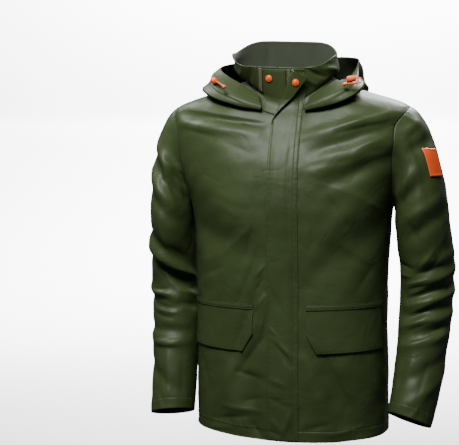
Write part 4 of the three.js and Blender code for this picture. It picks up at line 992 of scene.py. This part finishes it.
# The storm flap
# A double strip of the shell cloth sewn to the left front beside the zip. It covers the fronts from
# the hem to the throat, where its free corner is turned back over a slanting fold.
FLAP = {"free": -23, "seam": 38, "top": 17, "bottom": -725}
FLAP_SEWN, FLAP_OVER, FLAP_ROLL, FLAP_WALL = 0.5, 3.9, 2.4, 1.6
FREE_ROW = 4
FLAP_SEAM_ROWS = (2, 9)
FLAP_CREASE = {"x0": -23, "z0": -108, "x1": 20.4, "z1": 20}
FLAP_RIPPLES = np.array([
    (-7, -112, -8, -356, 9, 1.5), (20, -110, 19, -350, 6, -1.8), (-12, -518, 26, -556, 5, 2.1),
    (-2, -532, 24, -574, 4.5, -2.1), (-22, -600, 14, -612, 6, 1.4), (2, -722, 24, -668, 7, 2.1),
    (-22, -640, 20, -655, 6, -1.4), (-20, -680, 2, -700, 5, 1.5), (16, -690, 30, -722, 6, -1.7),
    (-20, -496, 0, -520, 4, 1.5), (-18, -420, 10, -470, 7, -1.1), (-20, -705, 8, -716, 4, -1.4),
])


def flap_point(x, level, depth):
    """The strip at its rise over the coat: past the fold line it rolls over a round bend and lies back."""
    rising = np.array([FLAP_CREASE["x1"] - FLAP_CREASE["x0"], FLAP_CREASE["z1"] - FLAP_CREASE["z0"]], float)
    ahead = unit(rising)
    away = np.array([-ahead[1], ahead[0]])
    past = (x - FLAP_CREASE["x0"]) * away[0] + (level - FLAP_CREASE["z0"]) * away[1]
    middle = FLAP_ROLL + FLAP_WALL / 2
    radius = FLAP_ROLL + FLAP_WALL - depth
    angle = np.clip(past / middle, 0, np.pi)
    rolled = radius * np.sin(angle) - np.maximum(past - np.pi * middle, 0)
    slide = np.where(past > 0, rolled, np.minimum(past, 0))
    flat_x = x + (slide - past) * away[0]
    flat_level = level + (slide - past) * away[1]
    height = np.where(past > 0, FLAP_ROLL + FLAP_WALL - radius * np.cos(angle), depth)
    rise = FLAP_OVER + (FLAP_SEWN - FLAP_OVER) * ease((np.minimum(x, flat_x) - 15) / 20)
    return front_strip(flat_x, flat_level) + strip_normal(flat_x, flat_level) * (rise + height)[..., None]


flap_rows = [FLAP["free"] + FREE_ROW] + [FLAP["seam"] - mark for mark in FLAP_SEAM_ROWS]
flap_across = with_marks(np.linspace(FLAP["free"], FLAP["seam"], 40), flap_rows)
flap_levels = with_marks(np.linspace(FLAP["bottom"], -100, 190), [FLAP["bottom"] + 20])
flap_levels = np.concatenate([flap_levels, np.linspace(-98.6, FLAP["top"], 84)])
xs, zs = np.meshgrid(flap_across, flap_levels)
edge = np.minimum(xs - FLAP["free"], FLAP["top"] - zs)
relief = -0.45 * np.exp(-(((edge - FREE_ROW) / 0.75) ** 2)) + 0.5 * puckers(zs, edge - FREE_ROW, 7)
ripples = fold_height(FLAP_RIPPLES, xs, zs)
relief = relief + ripples * ease((xs - FLAP["free"]) / 8) * ease((FLAP["seam"] - xs) / 8)
relief = relief + 0.35 * slack(np.stack([xs, 0 * xs, zs], -1))
for mark in FLAP_SEAM_ROWS:
    relief = relief - 0.5 * np.exp(-(((FLAP["seam"] - mark - xs) / 0.8) ** 2))
relief = relief + 0.7 * puckers(zs, FLAP["seam"] - xs, 8)
flap_outer = flap_point(xs, zs, FLAP_WALL + relief)
flap_inner = flap_point(xs, zs, np.full_like(xs, 0.1))
closed = np.concatenate([flap_outer, flap_inner[:, ::-1]], 1)
rows, columns = closed.shape[:2]
faces = grid_faces(rows, columns, True)
cap_columns = np.arange(columns // 2 - 1)
for row, turn in ((0, 1), (rows - 1, -1)):
    first = row * columns
    outer, inner = first + cap_columns, first + columns - 1 - cap_columns
    cap = np.stack([outer, inner, inner - 1, outer + 1], -1)
    faces = np.concatenate([faces, cap[:, ::turn]])
storm_flap = mesh_piece("storm_flap_strip", closed, faces)
storm_flap.data.materials.append(shell_cloth)
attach(storm_flap, "root")
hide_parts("storm_flap")

# The pockets
# Each front carries a slanted-corner flap hung from a narrow band that covers the pocket's mouth,
# both cut in two layers, turned and stitched along their edges.
POCKET = {"band": -452, "top": -462.5, "edge": -512, "bottom": -550}
POCKET_FROM, POCKET_TO, POCKET_CORNER = 0.078, 0.8115, 0.19
LID_LIES, LID_THICK = 0.3, 1.6


def pocket_grid(side, shares, levels):
    """Points and normals of a front at shares of the way to its side, at levels on the centre line."""
    sign = 1 if side == "left" else -1
    rows = row_at(levels)
    ring = along_table(TRUNK, rows)
    near = turn_at_x(ring, np.full_like(levels, sign * FLAP_SEAM))
    far = sign * turn_at_y(ring, np.full_like(levels, SEAM_GAP / 2), 1)
    turns = near + (far - near) * shares
    return trunk(turns, rows), trunk_normal(turns, rows)


for side in ("left", "right"):
    t, d = np.meshgrid(np.linspace(0, 1, 90), np.linspace(0, 1, 56))
    levels = POCKET["bottom"] + (POCKET["top"] - POCKET["bottom"]) * d
    cut = np.clip((POCKET["edge"] - levels) / (POCKET["edge"] - POCKET["bottom"]), 0, 1)
    first = POCKET_FROM + (POCKET_CORNER - POCKET_FROM) * cut * 0.93
    shares = first + (POCKET_TO - first) * t
    points, out = pocket_grid(side, shares, levels)
    width = lengths_along(points, 1)
    height = lengths_along(points, 0)
    edge = np.minimum(np.minimum(width, width[:, -1:] - width), height)
    rise = LID_LIES + LID_THICK + 2.2 * (1 - d) - 0.45 * np.exp(-(((edge - 3.2) / 0.8) ** 2))
    rise = rise - 0.4 * np.exp(-((edge / 0.9) ** 2))
    rise = rise + 0.6 * puckers(width, height - 3, 7) + 0.35 * slack(points)
    lid = points + out * rise[..., None]
    node = f"pocket_flap_{side}"
    sewn_piece(f"pocket_lid_{side}", lid, node, flip=side == "right", thick=1.5)
    t, d = np.meshgrid(np.linspace(0, 1, 90), with_marks(np.linspace(0, 10.5, 9), [2, 8.5]) / 10.5)
    levels = POCKET["top"] + (POCKET["band"] - POCKET["top"]) * d
    points, out = pocket_grid(side, POCKET_FROM + (POCKET_TO - POCKET_FROM) * t, levels)
    tall = lengths_along(points, 0)
    edge = np.minimum(tall, tall[-1:] - tall)
    rise = 2 * (LID_LIES + LID_THICK) - 0.45 * np.exp(-(((edge - 2) / 0.7) ** 2))
    rise = rise - 0.4 * np.exp(-((edge / 0.8) ** 2))
    welt = points + out * rise[..., None]
    node = f"pocket_band_{side}"
    sewn_piece(f"pocket_welt_{side}", welt, node, flip=side == "right", thick=1.5)

# The sleeve badge
# A moulded soft rubber patch with a raised rim, sewn level on the left upper sleeve. Its field is bare
# but for a fine slanting rib.
BADGE = {"top": -143, "bottom": -198, "from": 131, "to": 164, "rise": 2.2}
BADGE_ORANGE = (0.72, 0.075, 0.008, 1)


def sleeve_at_height(side, around, z):
    """The run along a sleeve's cap at which it comes down to a height, found by halving."""
    low, high = np.zeros_like(around), np.ones_like(around)
    for _ in range(18):
        middle = (low + high) / 2
        above = sleeve(side, around, middle)[..., 2] > z
        low, high = np.where(above, middle, low), np.where(above, high, middle)
    return low


t, d = np.meshgrid(np.linspace(0, 1, 34), np.linspace(0, 1, 46))
around = (BADGE["from"] + (BADGE["to"] - BADGE["from"]) * t) / 360
along = sleeve_at_height("left", around, BADGE["top"] + (BADGE["bottom"] - BADGE["top"]) * d)
points = sleeve("left", around, along)
width, height = lengths_along(points, 1), lengths_along(points, 0)
edge = np.minimum(np.minimum(width, width[:, -1:] - width), np.minimum(height, height[-1:] - height))
rise = BADGE["rise"] - 0.5 * ease((edge - 3.6) / 1.0) - 0.5 * np.exp(-((edge / 0.7) ** 2))
rise = rise + 0.12 * np.sin(2 * np.pi * (width + height) / 2.4) * ease((edge - 4.6) / 0.8)
patch = points + sleeve_normal("left", sleeve, around, along) * rise[..., None]
badge = mesh_piece("badge_patch", patch, grid_faces(46, 34))
badge.data.materials.append(moulded_plastic("soft_rubber", BADGE_ORANGE, 0.5))
backing = badge.modifiers.new("rubber", "SOLIDIFY")
backing.thickness = 0.0009
backing.offset = -1
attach(badge, "root")
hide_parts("badge")

# The snaps
# Pressed ring snaps with moulded orange caps: one closes the placket at the throat, and its mate
# shows on the turned-back corner of the storm flap.
SNAPS = {
    "flap": ((24.23, -95.77, -11.25), (0.2546, -0.9558, -0.1468)),
    "placket": ((-31.45, -90.91, -2.35), (-0.1397, -0.9657, -0.2191)),
}
SNAP_PROFILE = [
    (0, 0), (6.6, 0), (6.95, 0.3), (7, 0.8), (6.8, 1.3), (6.2, 1.7), (5.6, 1.75), (5.3, 1.5), (5.0, 1.5),
    (4.6, 2.0), (3.6, 2.5), (2.2, 2.8), (0.9, 2.88), (0, 2.9),
]
SNAP_ORANGE = (0.78, 0.105, 0.008, 1)
snap_material = moulded_plastic("snap_cap", SNAP_ORANGE, 0.34)
for place_name, (base, axis) in SNAPS.items():
    snap = turned(f"snap_cap_{place_name}", SNAP_PROFILE, base, axis, 48)
    snap.data.materials.append(snap_material)
    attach(snap, "root")
    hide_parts(f"snap_{place_name}")

# The stitching
# Spun polyester thread in the cloth's own green, some five stitches to two centimetres, sunk a
# little into each seam, hem and edge that is sewn down.
STITCH_LONG = 3.0
STITCH_STEP = 4.2
THREAD_GREEN = (0.030, 0.048, 0.014, 1)


def stitch_run(line, out):
    """Evenly spaced places on a line of points, with the run's direction and the outward direction there."""
    run = np.concatenate([[0], np.cumsum(np.linalg.norm(np.diff(line, axis=0), axis=1))])
    at = np.arange(STITCH_STEP / 2, run[-1] - STITCH_STEP / 2, STITCH_STEP)
    place = np.stack([np.interp(at, run, line[:, k]) for k in range(3)], 1)
    after, behind = (np.stack([np.interp(at + d, run, line[:, k]) for k in range(3)], 1) for d in (1, -1))
    ahead = unit(after - behind)
    normal = unit(np.stack([np.interp(at, run, out[:, k]) for k in range(3)], 1))
    return place, ahead, normal


def stitching(name, runs, material):
    """Each stitch is an arched bead: six-sided rings at five stations, thickest and highest in the middle."""
    stitched = zip(*[stitch_run(line, out) for line, out in runs])
    place, ahead, normal = (np.concatenate(parts) for parts in stitched)
    side = np.cross(ahead, normal)
    s = np.array([-1, -0.7, 0, 0.7, 1.0])
    thick = np.array([0.10, 0.30, 0.36, 0.30, 0.10])
    lift = 0.22 - 0.42 * s**2
    a = np.linspace(0, 2 * np.pi, 6, endpoint=False)
    along_part = s[None, :, None, None] * STITCH_LONG / 2 * ahead[:, None, None]
    wide_part = (thick[:, None] * np.cos(a)[None])[None, :, :, None] * side[:, None, None]
    above = thick[:, None] * np.sin(a)[None] * 0.8 + lift[:, None]
    high_part = above[None, :, :, None] * normal[:, None, None]
    points = place[:, None, None] + along_part + wide_part + high_part
    faces = np.arange(len(place))[:, None, None] * 30 + grid_faces(5, 6, True)[None]
    piece = mesh_piece(name, points, faces.reshape(-1, 4))
    piece.data.materials.append(material)
    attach(piece, "root")
    return piece


def spun_thread(name, colour):
    """Sewing thread: matt, with its twist as a fine slanting wave."""
    material, tree, shader = new_material(name, colour, 0.6)
    twist = add_node(tree, "ShaderNodeTexWave", bands_direction="DIAGONAL", Scale=900.0)
    on_object(tree, twist)
    raised(tree, shader, twist.outputs["Fac"], 0.0001, 0.6)
    return material


thread = spun_thread("green_thread", THREAD_GREEN)


def offset_line(grid, distances, want, axis):
    """The grid points nearest to a distance from an edge, one to a line, with the outward directions."""
    out = grid_normal(grid)
    k = np.abs(distances - want).argmin(axis)
    if axis == 1:
        return grid[np.arange(len(grid)), k], out[np.arange(len(grid)), k]
    return grid[k, np.arange(grid.shape[1])], out[k, np.arange(grid.shape[1])]


body_runs = []
for side, sign in (("left", 1), ("right", -1)):
    grid = front_skin[side]
    run = lengths_along(grid, 1)
    to_edge = run[:, -1:] - run
    up = lengths_along(grid, 0)
    for mark in SEAM_ROWS:
        line, out = offset_line(grid, to_edge, mark, 1)
        body_runs.append((line, out * sign))
    line, out = offset_line(grid, up, HEM_TURN, 0)
    body_runs.append((line, out * sign))
run = lengths_along(back_skin, 1)
to_edge = np.minimum(run, run[:, -1:] - run)
half = back_skin.shape[1] // 2
for part in (slice(0, half), slice(half, None)):
    for mark in SEAM_ROWS:
        body_runs.append(offset_line(back_skin[:, part], to_edge[:, part], mark, 1))
body_runs.append(offset_line(back_skin, lengths_along(back_skin, 0), HEM_TURN, 0))
stitching("body_stitching", body_runs, thread)
cuff_runs = []
for side, sign in (("left", -1), ("right", 1)):
    grid = np.concatenate([sleeve_skin[side], sleeve_skin[side][:, :1]], 1)
    down = lengths_along(grid, 0)
    line, out = offset_line(grid, down[-1:] - down, CUFF_TURN, 0)
    cuff_runs.append((line, out * sign))
stitching("cuff_stitching", cuff_runs, thread)
neck_runs = []
up = lengths_along(collar_skin, 0)
neck_runs.append(offset_line(collar_skin, up[-1:] - up, COLLAR_ROW, 0))
run = lengths_along(hood_skin, 0)
neck_runs.append(offset_line(hood_skin, run[-1:] - run, RIM_ROW, 0))
skin_out = grid_normal(hood_skin)
for seam in HOOD_SEAMS:
    for aside in (-3, 3):
        k = np.abs(stations[0] - seam - aside / MM_A_STATION).argmin()
        shown = rounds[:, 0] > 0.42
        neck_runs.append((hood_skin[shown, k], skin_out[shown, k]))
stitching("neck_stitching", neck_runs, thread)
flap_out = grid_normal(flap_outer)
flap_runs = []
for x in flap_rows:
    k = np.abs(flap_across - x).argmin()
    shown = flap_levels < (-94 if x < 0 else FLAP["top"] - 2)
    flap_runs.append((flap_outer[shown, k], flap_out[shown, k]))
stitching("flap_stitching", flap_runs, thread)

# The studio
# A pale paper sweep below and behind the coat has a lamp of its own and casts no light back. The coat
# has a broad soft light in front, a high one behind its left shoulder, a smaller one beside its right
# shoulder, and a dim pale room.
FLOOR = -0.90
SWEEP_SIDES = (-2900, 1300)
SWEEP_RUN = np.array([
    (-4.0, 0), (-1.0, 0), (2.8, 0), (3.5, 0.06), (3.95, 0.3), (4.2, 0.75), (4.25, 1.4), (4.25, 4.6),
])
PAPER_WHITE = (0.8, 0.8, 0.8, 1)
SWEEP_LINES = 140
# The curve runs on past the table's last row, over the top of the wall and down behind it.
sweep_line = along_table(SWEEP_RUN, np.linspace(0, 12.3, SWEEP_LINES))
sweep = np.zeros((2, SWEEP_LINES, 3))
sweep[:, :, 0] = np.array(SWEEP_SIDES)[:, None]
sweep[:, :, 1] = sweep_line[:, 0] * 1000
sweep[:, :, 2] = sweep_line[:, 1] * 1000 + FLOOR * 1000
backdrop = mesh_piece("backdrop", sweep, grid_faces(2, SWEEP_LINES)[:, ::-1])
paper, tree, shader = new_material("pale_paper", PAPER_WHITE, 0.95)
backdrop.data.materials.append(paper)
backdrop.visible_diffuse = False
backdrop.visible_glossy = False
world = bpy.data.worlds.new("room")
bpy.context.scene.world = world
world.use_nodes = True
world.node_tree.nodes["Background"].inputs["Color"].default_value = (0.86, 0.93, 1.0, 1)
world.node_tree.nodes["Background"].inputs["Strength"].default_value = 0.09
LIGHTS = {
    "key": ((-0.25, -1.8, 1.8), (0, 0, -0.22), 1.2, 0.9, 25, 70),
    "high_left": ((0.55, 1.5, 1.35), (0.1, 0, -0.1), 1.1, 0.7, 26, 90),
    "high_right": ((-1.2, 0.5, 1.2), (-0.15, 0, -0.1), 0.9, 0.6, 14, 120),
    "paper": ((-0.7, 2.6, 2.6), (-0.85, 4.25, 0.1), 3.4, 1.0, 1500, 150),
}
for name, (place_at, aim, wide, tall, watts, spread) in LIGHTS.items():
    lamp = bpy.data.objects.new(f"light_{name}", bpy.data.lights.new(f"light_{name}", "AREA"))
    lamp.data.shape = "RECTANGLE"
    lamp.data.size = wide
    lamp.data.size_y = tall
    lamp.data.energy = watts
    lamp.data.spread = math.radians(spread)
    lamp.location = place_at
    lamp.rotation_mode = "QUATERNION"
    lamp.rotation_quaternion = (Vector(aim) - Vector(place_at)).to_track_quat("-Z", "Y")
    bpy.context.collection.objects.link(lamp)
